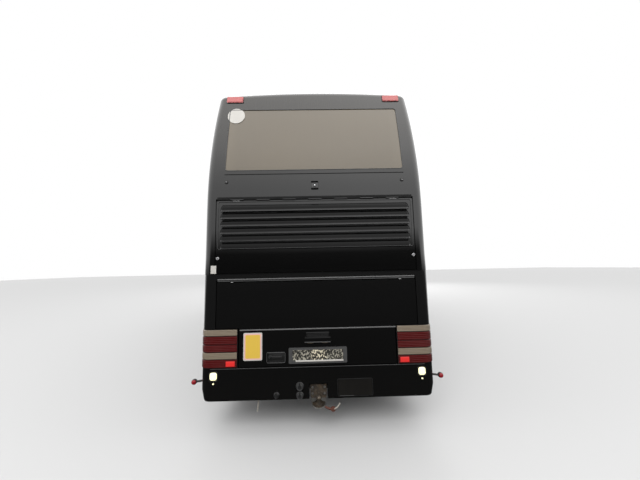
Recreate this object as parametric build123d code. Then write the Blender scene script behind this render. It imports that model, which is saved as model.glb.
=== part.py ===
from build123d import *
import math
import os

# A black three-axle double-deck touring coach, seen from behind in the photograph.
# Millimetres. +Y points forward, +X to the coach's right-hand side and +Z up; the road is z = 0.
# Places along the coach are given as s, the distance from its rear end.

# Overall sizes
length = 12000
width = 2500
height = 3941
half_width = width / 2
skirt_z = 320
wall = 60
leaf = 45
seat_gap = 0.3
panel_gap = 8
mirror_reach = 180
tail_reach = 43

# Body curves
shoulder_z = 2410
side_radius = 12500
crown_radius = 12800
cantrail_radius = 100
tuck = 35
tuck_top = 480
nose_bow_radius = 5000
nose_edge_radius = 95
tail_edge_radius = 95
nose_lean_z = 1000
nose_lean_radius = 14000
tail_lean_z = 2560
tail_lean_radius = 7000

# Where the body panels meet
tail_cap = 300
nose_depth = 700
nose_cap = length - nose_depth
deck_joint_z = 2190
cantrail_drop = 181
cantrail_z = height - cantrail_drop
tail_top_s = tail_lean_radius - math.sqrt(tail_lean_radius**2 - (height - tail_lean_z) ** 2)
tail_crown = tail_top_s + 125
nose_top_s = length - nose_lean_radius + math.sqrt(nose_lean_radius**2 - (height - nose_lean_z) ** 2)
dome_depth = 175
roof_joint = 560

# Decks
floor_low_z = 320
floor_thick = 50
upper_low_z = 2150
upper_thick = 80
bulkhead = 15

# Axles and wheels
tag_axle = 2450
drive_axle = 3800
front_overhang = 2700
front_axle = length - front_overhang
tyre_radius = 522
tyre_width = 298
rim_radius = 286
rim_width = 230
single_track = 2060
twin_track = 1830
twin_spacing = 335
arch_radius = 600
tunnel_radius = 630
tunnel_wall = 15
tunnel_inner_front = 525
tunnel_inner_rear = 570
saloon_rear = drive_axle + tunnel_radius + tunnel_wall
spindle_radius = 45
bearing_gap = 0.5
kingpin_x = 880
kingpin_radius = 21
steer_clear = 5

# Glass
glass_sink = 4
glass_thick = 10
window_corner = 60
window_pillar = 90
window_drop = 301
lower_window_low = 1230
lower_window_high = 2010
upper_window_low = 2720
upper_window_high = height - window_drop

# Rear end, measured off the photograph
bumper_low = 378
bumper_top = 707
bumper_corner = 48
lamp_top = 1104
lamp_inner_x = half_width - 404
lamp_wrap = 220
lid_half = half_width - 162
lid_low_half = lamp_inner_x - 6
lid_low = 713
lid_hinge_z = 1612
rail_top = 1697
flap_half = half_width - 140
flap_low = 1702
flap_hinge_z = 2522
rear_window_low = 2870
rear_window_top = height - 281
rear_window_low_half = half_width - 223
rear_window_top_half = half_width - 248
hinge_barrel = 8
hinge_pin = 4
hinge_clear = 5

# Louvres in the rear flap
louvre_count = 6
louvre_pitch = 84
louvre_first_top = 2459
louvre_half = flap_half - 75
louvre_height = 58
louvre_depth = 26
louvre_sheet = 3

# Passenger doors on the right-hand side
door_low = 330
door_width = 900
door_edge = 10
middle_door_s = 4800
front_door_setback = 1940
front_door_s = length - front_door_setback
arm_length = 520
arm_pin_x = half_width - 100
arm_post_inset = 140
arm_levels = (640, 2100)
post_radius = 22
arm_thick = 30
arm_tall = 36
eye_pin = 10

# Towing
hitch_width = 168
hitch_top = 512
ball_radius = 25
towing_bore = 15
towing_length = 60

rear_y = -(length + mirror_reach + tail_reach) / 2 + tail_reach
skin_x = half_width
inner_x = half_width - wall
floor_top = floor_low_z + floor_thick
upper_top = upper_low_z + upper_thick
edge_of_hinge = hinge_barrel + hinge_clear
far = 20000

# Passenger doors: name, rear edge
DOORS = (("middle_door", middle_door_s), ("front_door", front_door_s))


def panes_along(first, last, count):
    """Rear and front edges of windows that share a stretch of the side, with a pillar between them."""
    pane = (last - first - window_pillar * (count - 1)) / count
    return [(first + n * (pane + window_pillar), first + n * (pane + window_pillar) + pane) for n in range(count)]


# Lower-deck windows: side, rear edge, front edge, low z, high z
driver_window = (length - 1990, length - 820)
left_stretch = (saloon_rear + 315, driver_window[0] - 110)
right_stretch = (middle_door_s + door_width + 120, front_door_s - 130)
LOWER_WINDOWS = [(-1, *edges, lower_window_low, lower_window_high) for edges in panes_along(*left_stretch, 3)]
LOWER_WINDOWS += [(1, *edges, lower_window_low, lower_window_high) for edges in panes_along(*right_stretch, 3)]
LOWER_WINDOWS += [(-1, *driver_window, 1090, lower_window_high)]

# Upper-deck windows, both sides alike: rear edge, front edge
UPPER_WINDOWS = panes_along(460, length - 890, 6)

# Axles: name, s, wheel centre x, tunnel inner x
AXLES = (
    ("tag", tag_axle, single_track / 2, tunnel_inner_rear),
    ("drive", drive_axle, twin_track / 2, tunnel_inner_rear),
    ("front", front_axle, single_track / 2, tunnel_inner_front),
)

# Side flaps behind the tag axle: rear edge, front edge, low z, hinge z
SIDE_FLAP = (520, 1700, 450, 1563)

# Stairs, both on the left and rising to the rear: top s, bottom s
stair_steps = 8
stair_going = 180
stair_x = (1 - inner_x, 605 - inner_x)
stair_run = stair_steps * stair_going
rear_stair_top = saloon_rear + 25
front_stair_foot = front_axle - tunnel_radius - tunnel_wall - 60
STAIRS = ((rear_stair_top, rear_stair_top + stair_run), (front_stair_foot - stair_run, front_stair_foot))

os.makedirs("parts", exist_ok=True)


def y_at(s):
    """Y of a place that lies s in front of the coach's rear end."""
    return rear_y + s


def box(x=(-far, far), s=(-far, far), z=(-far, far)):
    """Solid box from three low and high pairs."""
    y = (y_at(s[0]), y_at(s[1]))
    sizes = [high - low for low, high in (x, y, z)]
    centre = [(high + low) / 2 for low, high in (x, y, z)]
    return Pos(*centre) * Box(*sizes)


def solids_of(shape):
    """One shape that holds the solids of another."""
    found = shape.solids()
    return found[0] if len(found) == 1 else Compound(children=list(found))


def write(name, shape):
    export_step(solids_of(shape), f"parts/{name}.step")


def on_circle(centre, radius, toward):
    """Point of a circle in the direction of another point."""
    dx, dy = toward[0] - centre[0], toward[1] - centre[1]
    reach = math.hypot(dx, dy)
    return (centre[0] + radius * dx / reach, centre[1] + radius * dy / reach)


def arc(centre, radius, start, end):
    """Arc about a centre from one point to another, the short way."""
    middle = ((start[0] + end[0]) / 2, (start[1] + end[1]) / 2)
    return ThreePointArc(start, on_circle(centre, radius, middle), end)


def prism_x(face, low, high):
    """Outline drawn in y and z, run along X."""
    return extrude(Plane.YZ.offset(low) * face, amount=high - low, dir=(1, 0, 0))


def prism_y(face, s_low, s_high):
    """Outline drawn in x and z, run along Y."""
    return extrude(Plane.XZ.offset(-y_at(s_low)) * face, amount=s_high - s_low, dir=(0, 1, 0))


def prism_z(face, low, high):
    return extrude(Plane.XY.offset(low) * face, amount=high - low, dir=(0, 0, 1))


def cross_outline(inset, low):
    """The body seen from behind, all walls moved in by inset, down to the height low."""
    side_x = half_width - inset
    side_centre = (half_width - side_radius, shoulder_z)
    crown_centre = (0, height - crown_radius)
    reach_side, reach_crown = side_radius - cantrail_radius, crown_radius - cantrail_radius
    apart = (crown_centre[0] - side_centre[0], crown_centre[1] - side_centre[1])
    distance = math.hypot(*apart)
    unit = (apart[0] / distance, apart[1] / distance)
    along = (reach_side**2 - reach_crown**2 + distance**2) / (2 * distance)
    off = math.sqrt(reach_side**2 - along**2)
    corner = (side_centre[0] + unit[0] * along - unit[1] * off, side_centre[1] + unit[1] * along + unit[0] * off)
    leave = on_circle(side_centre, side_radius - inset, corner)
    join = on_circle(crown_centre, crown_radius - inset, corner)
    top = (0, height - inset)
    half = Line((0, low), (side_x - tuck, low))
    if low < skirt_z:
        half += Line((side_x - tuck, low), (side_x - tuck, skirt_z))
    half += Line((side_x - tuck, skirt_z), (side_x, tuck_top))
    half += Line((side_x, tuck_top), (side_x, shoulder_z))
    half += arc(side_centre, side_radius - inset, (side_x, shoulder_z), leave)
    half += arc(corner, cantrail_radius - inset, leave, join)
    half += arc(crown_centre, crown_radius - inset, join, top)
    return make_face(half + mirror(half, about=Plane.YZ))


def tail_outline(inset, low):
    """The body seen from the right, its tail upright and then curving forwards; the nose is left long."""
    tail_y, top = y_at(0), height + 80
    centre = (tail_y + tail_lean_radius, tail_lean_z)
    end = (centre[0] - math.sqrt((tail_lean_radius - inset) ** 2 - (top - tail_lean_z) ** 2), top)
    line = Line((tail_y + inset, low), (tail_y + inset, tail_lean_z))
    line += arc(centre, tail_lean_radius - inset, (tail_y + inset, tail_lean_z), end)
    line += Line(end, (y_at(length) + 100, top))
    line += Line((y_at(length) + 100, top), (y_at(length) + 100, low))
    line += Line((y_at(length) + 100, low), (tail_y + inset, low))
    return make_face(line)


def nose_solid(inset, low):
    """Everything behind the nose: its leaning outline turned about an upright axis, for a bowed front."""
    nose_y, top = y_at(length), height + 90
    axis_y = nose_y - nose_bow_radius
    centre = (nose_y - nose_lean_radius, nose_lean_z)
    end = (centre[0] + math.sqrt((nose_lean_radius - inset) ** 2 - (top - nose_lean_z) ** 2), top)
    line = Line((axis_y, low - 10), (nose_y - inset, low - 10))
    line += Line((nose_y - inset, low - 10), (nose_y - inset, nose_lean_z))
    line += arc(centre, nose_lean_radius - inset, (nose_y - inset, nose_lean_z), end)
    line += Line(end, (axis_y, top))
    line += Line((axis_y, top), (axis_y, low - 10))
    face = Rot(0, 0, -20) * (Pos(0, -axis_y, 0) * (Plane.YZ * make_face(line)))
    return Pos(0, axis_y, 0) * revolve(face, axis=Axis.Z, revolution_arc=40)


made_envelopes = {}


def outer_edges(body, s_low, s_high):
    """The edges within a stretch that run up one side, over the roof and down the other."""
    found = []
    for edge in body.edges():
        extent = edge.bounding_box()
        inside = extent.min.Y > y_at(s_low) and extent.max.Y < y_at(s_high)
        if inside and extent.size.Z > 1:
            found.append(edge)
    return found


def envelope(inset, open_below=False):
    """The whole body as one solid, with every face moved in by inset."""
    key = (inset, open_below)
    if key not in made_envelopes:
        low = 0 if open_below else skirt_z
        body = prism_y(cross_outline(inset, low), -far / 4, length + far / 4)
        body &= prism_x(tail_outline(inset, low - 5), -width, width)
        front = box(x=(-width, width), s=(length - 900, length + 200), z=(low - 9, height + 85))
        body -= front - nose_solid(inset, low)
        body = fillet(outer_edges(body, length - 1400, length + 100), nose_edge_radius - inset)
        made_envelopes[key] = fillet(outer_edges(body, -100, 1000), tail_edge_radius - inset)
    return made_envelopes[key]


def skin(outer, inner):
    """The layer of the body between two depths, open below."""
    return envelope(outer) - envelope(inner, open_below=True)


def rounded_x(s_low, s_high, z_low, z_high, radius, x_low, x_high):
    """Rounded block through a side wall."""
    face = RectangleRounded(s_high - s_low, z_high - z_low, radius)
    face = Pos((y_at(s_low) + y_at(s_high)) / 2, (z_low + z_high) / 2) * face
    return prism_x(face, x_low, x_high)


def side_block(side, s_low, s_high, z_low, z_high, radius):
    """Rounded block through the left (-1) or right (1) wall."""
    low, high = (half_width * 0.6, half_width * 1.2)
    low, high = (low, high) if side > 0 else (-high, -low)
    return rounded_x(s_low, s_high, z_low, z_high, radius, low, high)


def end_block(points, radius, s_low, s_high):
    """Block with rounded corners through the nose or the tail, from corners in x and z."""
    face = make_face(Polyline(*points, close=True))
    if radius:
        face = fillet(face.vertices(), radius)
    return prism_y(face, s_low, s_high)


def shrink(pair, by):
    return (pair[0] + by, pair[1] - by)


def both_sides(shape):
    return shape + mirror(shape, about=Plane.YZ)


def hinge(span, knuckles):
    """A hinge along X about the origin, outside towards -Y: its fixed half and its moving half."""
    pitch = span / knuckles
    bore = hinge_pin + seat_gap
    web_thick, web_sink, side_gap = 6, 3, 2
    fixed = Rot(0, 90, 0) * Cylinder(hinge_pin, span)
    moving = None
    for n in range(knuckles):
        centre = -span / 2 + pitch * (n + 0.5)
        run = pitch - 2 * side_gap
        barrel = Pos(centre, 0, 0) * Rot(0, 90, 0) * Cylinder(hinge_barrel, run)
        reach = edge_of_hinge + web_sink
        way = -1 if n % 2 == 0 else 1
        web = Pos(centre, web_thick / 2, way * reach / 2) * Box(run, web_thick, reach)
        piece = barrel + web
        if way < 0:
            piece -= Pos(centre, 0, 0) * Rot(0, 90, 0) * Cylinder(bore, run + 1)
            moving = piece if moving is None else moving + piece
        else:
            fixed += piece
    return fixed, moving


# Side walls, with their windows, wheel arches, doorways and flap openings
body_skin = skin(0, wall)
glass_skin = skin(glass_sink, glass_sink + glass_thick)
leaf_skin = skin(0, leaf)
middle = (tail_cap, nose_cap)


def wall_half(side):
    return (0, far) if side > 0 else (-far, 0)


def arch_cuts():
    cuts = []
    for _, s, _, _ in AXLES:
        cuts.append(Pos(0, y_at(s), tyre_radius) * Rot(0, 90, 0) * Cylinder(arch_radius, 2 * width))
    return cuts


def flap_opening(side):
    s_low, s_high, z_low, hinge_z = SIDE_FLAP
    low = z_low - panel_gap
    return side_block(side, s_low - panel_gap, s_high + panel_gap, low, hinge_z + edge_of_hinge, panel_gap)


def flap_hinge(side):
    """The two halves of a side flap's hinge, in place."""
    s_low, s_high, _, hinge_z = SIDE_FLAP
    place = Pos(side * skin_x, y_at((s_low + s_high) / 2), hinge_z) * Rot(0, 0, side * 90)
    fixed, moving = hinge(s_high - s_low - 2 * panel_gap, 9)
    return place * fixed, place * moving


def lower_wall(side):
    shape = body_skin & box(x=wall_half(side), s=middle, z=(skirt_z, deck_joint_z))
    for cut in arch_cuts():
        shape -= cut
    for window_side, s_low, s_high, z_low, z_high in LOWER_WINDOWS:
        if window_side == side:
            shape -= side_block(side, s_low, s_high, z_low, z_high, window_corner)
    if side > 0:
        for _, s in DOORS:
            shape -= box(x=wall_half(side), s=(s, s + door_width), z=(0, deck_joint_z + 1))
    shape -= flap_opening(side)
    return shape + flap_hinge(side)[0]


def upper_wall(side):
    shape = body_skin & box(x=wall_half(side), s=middle, z=(deck_joint_z, cantrail_z))
    for s_low, s_high in UPPER_WINDOWS:
        shape -= side_block(side, s_low, s_high, upper_window_low, upper_window_high, window_corner)
    return shape


def side_panes(side):
    """The panes of one side, each a little smaller than its opening."""
    places = [w[1:] for w in LOWER_WINDOWS if w[0] == side]
    places += [(s_low, s_high, upper_window_low, upper_window_high) for s_low, s_high in UPPER_WINDOWS]
    panes = []
    for s_low, s_high, z_low, z_high in places:
        s_low, s_high = shrink((s_low, s_high), seat_gap)
        z_low, z_high = shrink((z_low, z_high), seat_gap)
        panes += (glass_skin & side_block(side, s_low, s_high, z_low, z_high, window_corner)).solids()
    return panes


write("left_lower_wall", lower_wall(-1))
write("right_lower_wall", lower_wall(1))
write("left_upper_wall", upper_wall(-1))
write("right_upper_wall", upper_wall(1))
write("side_windows", Compound(children=side_panes(-1) + side_panes(1)))

# Roof with its two domed ends, and the lift-up hatches on it
# The roof is a middle strip and two side strips. Each one ends in its own piece of the front dome, which
# starts behind the inner rounding, so that the long strips are plain arches.
shell = body_skin & box(s=(tail_crown, far), z=(cantrail_z, height + 1))
dome_s = nose_top_s - dome_depth
side_dome_s = dome_s - half_width**2 / (2 * nose_bow_radius)
roof = []
for x_range, split_s in (
    ((-roof_joint, roof_joint), dome_s), ((roof_joint, far), side_dome_s), ((-far, -roof_joint), side_dome_s),
):
    for s_range in ((0, split_s), (split_s, far)):
        x_low, x_high = shrink(x_range, seat_gap / 2)
        roof += (shell & box(x=(x_low, x_high), s=shrink(s_range, seat_gap / 2))).solids()
write("roof", Compound(children=roof))
hatch_length, hatch_width, hatch_rise = 760, 640, 30
hatches = []
for s in (3000, length - 3200):
    block = box(x=(-hatch_width / 2, hatch_width / 2), s=(s - hatch_length / 2, s + hatch_length / 2))
    hatches.append((envelope(-hatch_rise) - envelope(-seat_gap)) & block & box(z=(cantrail_z, 2 * height)))
write("roof_hatches", Compound(children=[fillet(h.edges().filter_by(Axis.Z), 60) for h in hatches]))

# Nose: bumper, frame around the two windscreens, and the screens
nose = (nose_cap, length + far / 4)
nose_bumper_top = 600
screen_half = half_width - 145
LOWER_SCREEN = (1080, 2150)
UPPER_SCREEN = (2440, upper_window_high)
screen_corner = 110


def screen_block(levels, by):
    low, high = shrink(levels, by)
    half = screen_half - by
    corners = ((-half, low), (half, low), (half, high), (-half, high))
    return end_block(corners, screen_corner, nose[0] + wall, nose[1])


headlamp_x = (half_width - 560, half_width - 54)
headlamp_z = (640, 850)
fog_x = (half_width - 550, half_width - 370)
fog_z = (420, 500)
nose_lamps_from = length - 500


def lamp_block(side, xs, zs, by, s_range):
    """Block of a lamp's outline, mirrored to the side, made smaller by a gap."""
    low_x, high_x = shrink(xs, by)
    low_z, high_z = shrink(zs, by)
    xs = (low_x, high_x) if side > 0 else (-high_x, -low_x)
    return box(x=xs, s=s_range, z=(low_z, high_z))


nose_skin = body_skin & box(s=nose)
nose_frame = nose_skin & box(z=(nose_bumper_top, cantrail_z))
nose_bumper = nose_skin & box(z=(skirt_z, nose_bumper_top - seat_gap))
lamp_range = (nose_lamps_from, nose[1])
front_lamps = []
lamp_skin = skin(2, wall)
for side in (-1, 1):
    nose_frame -= lamp_block(side, headlamp_x, headlamp_z, 0, lamp_range)
    nose_bumper -= lamp_block(side, fog_x, fog_z, 0, lamp_range)
    front_lamps += (lamp_skin & lamp_block(side, headlamp_x, headlamp_z, seat_gap, lamp_range)).solids()
    front_lamps += (lamp_skin & lamp_block(side, fog_x, fog_z, seat_gap, lamp_range)).solids()
for levels in (LOWER_SCREEN, UPPER_SCREEN):
    nose_frame -= screen_block(levels, 0)
screens = [glass_skin & screen_block(levels, seat_gap) for levels in (LOWER_SCREEN, UPPER_SCREEN)]
towing_x, towing_z = 420, 460
socket_s = (length - 110, length - 4)
socket_place = Pos(towing_x, 0, towing_z) * Rot(90, 0, 0)
socket = Pos(0, (y_at(socket_s[0]) + y_at(socket_s[1])) / 2, 0) * socket_place * Cylinder(
    towing_bore + 15, socket_s[1] - socket_s[0])
towing_hole = Pos(0, y_at(socket_s[1]), 0) * socket_place * Cylinder(towing_bore, 2 * towing_length)
nose_bumper = nose_bumper + socket - towing_hole
write("front_bumper", nose_bumper)
write("front_frame", nose_frame)
write("front_lamps", Compound(children=front_lamps))
write("windscreens", Compound(children=[s.solids()[0] for s in screens]))

# Tail: bumper, frame, lamps and rear window
tail = (-far / 4, tail_cap)
lamp_zone = (bumper_top + 1, lamp_top)
LAMP_SIDE = (lamp_inner_x, half_width + 1)
reverse_x, reverse_z = (half_width - 190, half_width - 114), (582, 668)
marker_x, marker_z = (half_width - 403, half_width - 192), (height - 184, height - 84)
tail_skin = body_skin & box(s=tail)
window_corners = (
    (-rear_window_low_half, rear_window_low), (rear_window_low_half, rear_window_low),
    (rear_window_top_half, rear_window_top), (-rear_window_top_half, rear_window_top),
)


def toward_middle(points, by):
    """The same corners moved in by a gap."""
    return [(x - math.copysign(by, x), z + (by if z < rear_window_top - 1 else -by)) for x, z in points]


rear_frame = tail_skin & box(z=(bumper_top, cantrail_z))
rear_frame += body_skin & box(s=(-far / 4, tail_crown), z=(cantrail_z, height + 1))
tuck_lean = tuck / (tuck_top - skirt_z)
bumper_foot = half_width - tuck_lean * (tuck_top - bumper_low) + 0.5
bumper_side = half_width + 50 * tuck_lean + 0.5
bumper_face = Polyline((-bumper_foot, bumper_low), (bumper_foot, bumper_low), (bumper_side, tuck_top + 50),
                       (bumper_side, bumper_top), (-bumper_side, bumper_top), (-bumper_side, tuck_top + 50), close=True)
bumper_face = make_face(bumper_face)
bumper_face = fillet(bumper_face.vertices().sort_by(Axis.Y)[:2], bumper_corner)
rear_bumper = tail_skin & box(z=(bumper_low, bumper_top - seat_gap)) & prism_y(bumper_face, *tail)
lid_cut = box(x=(-lid_half - panel_gap, lid_half + panel_gap), s=(-far / 4, lamp_wrap),
              z=(lamp_top, lid_hinge_z + edge_of_hinge))
lid_cut += box(x=(-lamp_inner_x, lamp_inner_x), s=(-far / 4, lamp_wrap), z=(0, lamp_top + 1))
flap_cut = box(x=(-flap_half - panel_gap, flap_half + panel_gap), s=(-far / 4, tail_cap / 2),
               z=(rail_top, flap_hinge_z + edge_of_hinge))
rear_frame -= lid_cut
rear_frame -= flap_cut
rear_lamps = []
corner_lamps = (-far / 4, lamp_wrap)
marker_range = (-far / 4, tail_top_s + 52)
for side in (-1, 1):
    rear_frame -= lamp_block(side, (lamp_inner_x - 1, half_width + 1), lamp_zone, -1, corner_lamps)
    rear_frame -= lamp_block(side, marker_x, marker_z, 0, marker_range)
    rear_bumper -= lamp_block(side, reverse_x, reverse_z, 0, corner_lamps)
    lamp_range = (-far / 4, lamp_wrap - seat_gap)
    cluster = (lamp_inner_x + panel_gap, half_width + 1)
    rear_lamps += (lamp_skin & lamp_block(side, cluster, lamp_zone, seat_gap, lamp_range)).solids()
    rear_lamps += (lamp_skin & lamp_block(side, marker_x, marker_z, seat_gap, marker_range)).solids()
    rear_lamps += (lamp_skin & lamp_block(side, reverse_x, reverse_z, seat_gap, lamp_range)).solids()
rear_frame -= end_block(window_corners, 30, *tail)
rear_pane = glass_skin & end_block(toward_middle(window_corners, seat_gap), 30, *tail)
lid_fixed, lid_moving = hinge(2 * (lid_half - panel_gap), 15)
flap_fixed, flap_moving = hinge(2 * (flap_half - panel_gap), 15)
lid_place = Pos(0, y_at(0), lid_hinge_z)
flap_place = Pos(0, y_at(0), flap_hinge_z)
rear_frame += lid_place * lid_fixed
rear_frame += flap_place * flap_fixed

# Marker lamps on rubber stalks at the tail's lower corners
stalk_s, stalk_z, stalk_reach, stalk_radius, stalk_ball = 190, 577, 70, 9, 22
for side in (-1, 1):
    stem = Pos(side * (skin_x + seat_gap + stalk_reach / 2), y_at(stalk_s), stalk_z)
    stem *= Rot(0, 90, 0) * Cylinder(stalk_radius, stalk_reach)
    ball = Pos(side * (skin_x + stalk_reach), y_at(stalk_s), stalk_z) * Rot(0, 90, 0) * Sphere(stalk_ball)
    rear_lamps += (stem + ball).solids()

# Trailer sockets and the notch for the coupling in the rear bumper
hitch_notch = hitch_width / 2 + 15
rear_bumper -= box(x=(-hitch_notch, hitch_notch), s=tail, z=(0, hitch_top + 15))
socket_x, socket_radius, socket_rise = -195, 36, 14
for z in (503, 411):
    boss = Pos(socket_x, y_at(0), z) * Rot(90, 0, 0) * Cylinder(socket_radius, 2 * socket_rise)
    rear_bumper += boss
write("rear_frame", rear_frame)
write("rear_bumper", rear_bumper)
write("rear_lamps", Compound(children=rear_lamps))
write("rear_window", rear_pane)

# Engine lid: wide above the lamps, narrow between them, hung from its top edge
lid_top = lid_hinge_z - edge_of_hinge
lid_upper = box(x=(-lid_half, lid_half), s=tail, z=(lamp_top + panel_gap, lid_top))
lid_lower = box(x=(-lid_low_half, lid_low_half), s=tail, z=(lid_low, lamp_top + panel_gap + 1))
engine_lid = (leaf_skin & lid_upper) + (leaf_skin & lid_lower)
plate_half, plate_z, plate_rise = 287, (721, 900), 8
plate_base = box(x=(-plate_half, plate_half), s=(-plate_rise, leaf / 2), z=plate_z)
handle_x, handle_z, handle_deep = (-540, -352), (752, 852), 25
handle_pocket = box(x=handle_x, s=(-1, handle_deep), z=handle_z)
engine_lid = engine_lid + plate_base - handle_pocket + lid_place * lid_moving
write("engine_lid", engine_lid)


# Louvred flap: pressed hoods that open downwards, with rounded ends
def hood(top, drop, depth):
    low = top - drop
    knee = (depth * 0.62, top - drop * 0.4)
    flat = Plane(origin=(0, y_at(0), 0), x_dir=(0, -1, 0), z_dir=(-1, 0, 0))
    lines = ThreePointArc((0, top), knee, (depth, low)) + Line((depth, low), (0, low)) + Line((0, low), (0, top))
    face = flat * make_face(lines)
    run = Pos(louvre_half, 0, 0) * extrude(face, amount=2 * louvre_half)
    ends = []
    for side in (-1, 1):
        turned = revolve(face, axis=Axis((0, y_at(0), 0), (0, 0, 1)), revolution_arc=side * 90)
        ends.append(Pos(side * louvre_half, 0, 0) * turned)
    return run + ends[0] + ends[1]


flap_block = box(x=(-flap_half, flap_half), s=tail, z=(flap_low, flap_hinge_z - edge_of_hinge))
grille_flap = leaf_skin & flap_block
for n in range(louvre_count):
    top = louvre_first_top - n * louvre_pitch
    slot_low, slot_high = top - louvre_height + 2, top - 4 * louvre_sheet
    grille_flap += hood(top, louvre_height, louvre_depth)
    grille_flap -= hood(top - louvre_sheet, louvre_height, louvre_depth - louvre_sheet)
    grille_flap -= box(x=(-louvre_half, louvre_half), s=(-1, wall), z=(slot_low, slot_high))
grille_flap += flap_place * flap_moving
write("grille_flap", grille_flap)

# Side flaps
for name, side in (("left_flap", -1), ("right_flap", 1)):
    s_low, s_high, z_low, hinge_z = SIDE_FLAP
    block = side_block(side, s_low, s_high, z_low, hinge_z - edge_of_hinge, panel_gap)
    write(name, (leaf_skin & block) + flap_hinge(side)[1])

# Decks and bulkheads
deck = envelope(wall + seat_gap, open_below=True)
tunnel_outer = tunnel_radius + tunnel_wall
lower_floor = deck & box(s=(saloon_rear + bulkhead + 2 * seat_gap, length), z=(floor_low_z, floor_top))
for side in (-1, 1):
    half = (tunnel_inner_front - tunnel_wall - seat_gap, far)
    half = half if side > 0 else (-half[1], -half[0])
    around = (front_axle - tunnel_outer - seat_gap, front_axle + tunnel_outer + seat_gap)
    lower_floor -= box(x=half, s=around)
write("lower_floor", lower_floor)

upper_floor = deck & box(z=(upper_low_z, upper_top))
for s_top, s_bottom in STAIRS:
    upper_floor -= box(x=(-half_width, stair_x[1]), s=(s_top, s_bottom))
write("upper_floor", upper_floor)

rear_bulkhead = deck & box(s=(saloon_rear + seat_gap, saloon_rear + seat_gap + bulkhead),
                           z=(floor_low_z, upper_low_z - seat_gap))
engine_wall_s = tag_axle - tunnel_outer
rail_high = 850
engine_bulkhead = deck & box(s=(engine_wall_s - bulkhead, engine_wall_s),
                             z=(rail_high + seat_gap, upper_low_z - seat_gap))
hold_low = tyre_radius + tunnel_outer + 20
hold_floor = deck & box(s=(engine_wall_s + seat_gap, saloon_rear), z=(hold_low, hold_low + bulkhead))
write("bulkheads", Compound(children=[rear_bulkhead.solids()[0], engine_bulkhead.solids()[0],
                                      hold_floor.solids()[0]]))


# Wheel tunnels, closed towards the middle of the coach
def tunnel(s, inner_x_low, radius, low):
    """Arched block over a wheel on the right-hand side."""
    face = Pos(y_at(s), tyre_radius) * Circle(radius)
    face += Pos(y_at(s), (tyre_radius + low) / 2) * Rectangle(2 * radius, tyre_radius - low)
    face -= Pos(y_at(s), low - radius) * Rectangle(4 * radius, 2 * radius)
    return prism_x(face, inner_x_low, inner_x - seat_gap)


tunnels = []
bracket_half, bracket_low = 90, 700
spring_x = 620
AXLE_SLOTS = {"tag": (90, 640), "drive": (120, 660), "front": (66, 420)}
for name, s, _, tunnel_x in AXLES:
    arch = tunnel(s, tunnel_x - tunnel_wall, tunnel_outer, floor_low_z) - tunnel(s, tunnel_x, tunnel_radius, 0)
    if name == "front":
        arch += box(x=(spring_x - bracket_half, spring_x + bracket_half), s=(s - bracket_half, s + bracket_half),
                    z=(bracket_low, tyre_radius + tunnel_radius + 5))
    slot_half, slot_top = AXLE_SLOTS[name]
    slot_x = (tunnel_x - tunnel_wall - 1, tunnel_x + 1)
    arch -= box(x=slot_x, s=(s - slot_half, s + slot_half), z=(0, slot_top))
    arch &= deck
    tunnels += [arch.solids()[0], mirror(arch, about=Plane.YZ).solids()[0]]
write("wheel_tunnels", Compound(children=tunnels))


# Stairs
def stair(s_top, s_bottom):
    """Flight of treads rising to the rear, open underneath as a folded slab."""
    run = (s_bottom - s_top) / stair_steps
    rise = (upper_top - floor_top) / stair_steps
    slab = 30
    points = [(y_at(s_bottom), floor_top)]
    for n in range(stair_steps - 1):
        y = y_at(s_bottom) - n * run
        z = floor_top + (n + 1) * rise
        points += [(y, z), (y - run, z)]
    points += [(points[-1][0], points[-1][1] - slab - rise), (y_at(s_bottom) - run - slab, floor_top)]
    return prism_x(make_face(Polyline(*points, close=True)), *stair_x) & deck


write("stairs", Compound(children=[stair(*place).solids()[0] for place in STAIRS]))

# Seats
seat_width, seat_x, seat_split = 880, half_width - 570, 20
SEAT_OUTLINE = ((-110, 0), (110, 0), (110, 360), (235, 385), (235, 460), (-125, 440),
                (-245, 1080), (-335, 1070), (-215, 380), (-110, 360))


def seat(x, s, floor, wide):
    """Seat that faces forward, on a pedestal; a double one has two backs."""
    face = fillet(make_face(Polyline(*SEAT_OUTLINE, close=True)).vertices(), 14)
    solid = prism_x(Pos(y_at(s), floor) * face, x - wide / 2, x + wide / 2)
    if wide == seat_width:
        solid -= box(x=(x - seat_split / 2, x + seat_split / 2), s=(s - 500, s - 130), z=(floor + 470, floor + 1200))
    return solid.solids()[0]


# Rows of double seats: side, floor, first s, the furthest s that a seat may have
row_pitch = 790
between_stairs = (STAIRS[0][1] + 500, STAIRS[1][0] - 245)
SEAT_ROWS = (
    (1, upper_top, 1100, length - 1400), (-1, upper_top, 1100, rear_stair_top - 600), (-1, upper_top, *between_stairs),
    (-1, upper_top, front_stair_foot + 405, length - 1400), (-1, floor_top, *between_stairs),
    (1, floor_top, middle_door_s + door_width + 450, front_axle - tunnel_radius - tunnel_wall - 300),
)
seats = []
for side, floor, first, last in SEAT_ROWS:
    rows = math.floor((last - first) / row_pitch) + 1
    seats += [seat(side * seat_x, first + n * row_pitch, floor, seat_width) for n in range(rows)]
driver_x, driver_s = 610 - half_width, length - 1400
seats.append(seat(driver_x, driver_s, floor_top, 520))
write("seats", Compound(children=seats))

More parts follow.
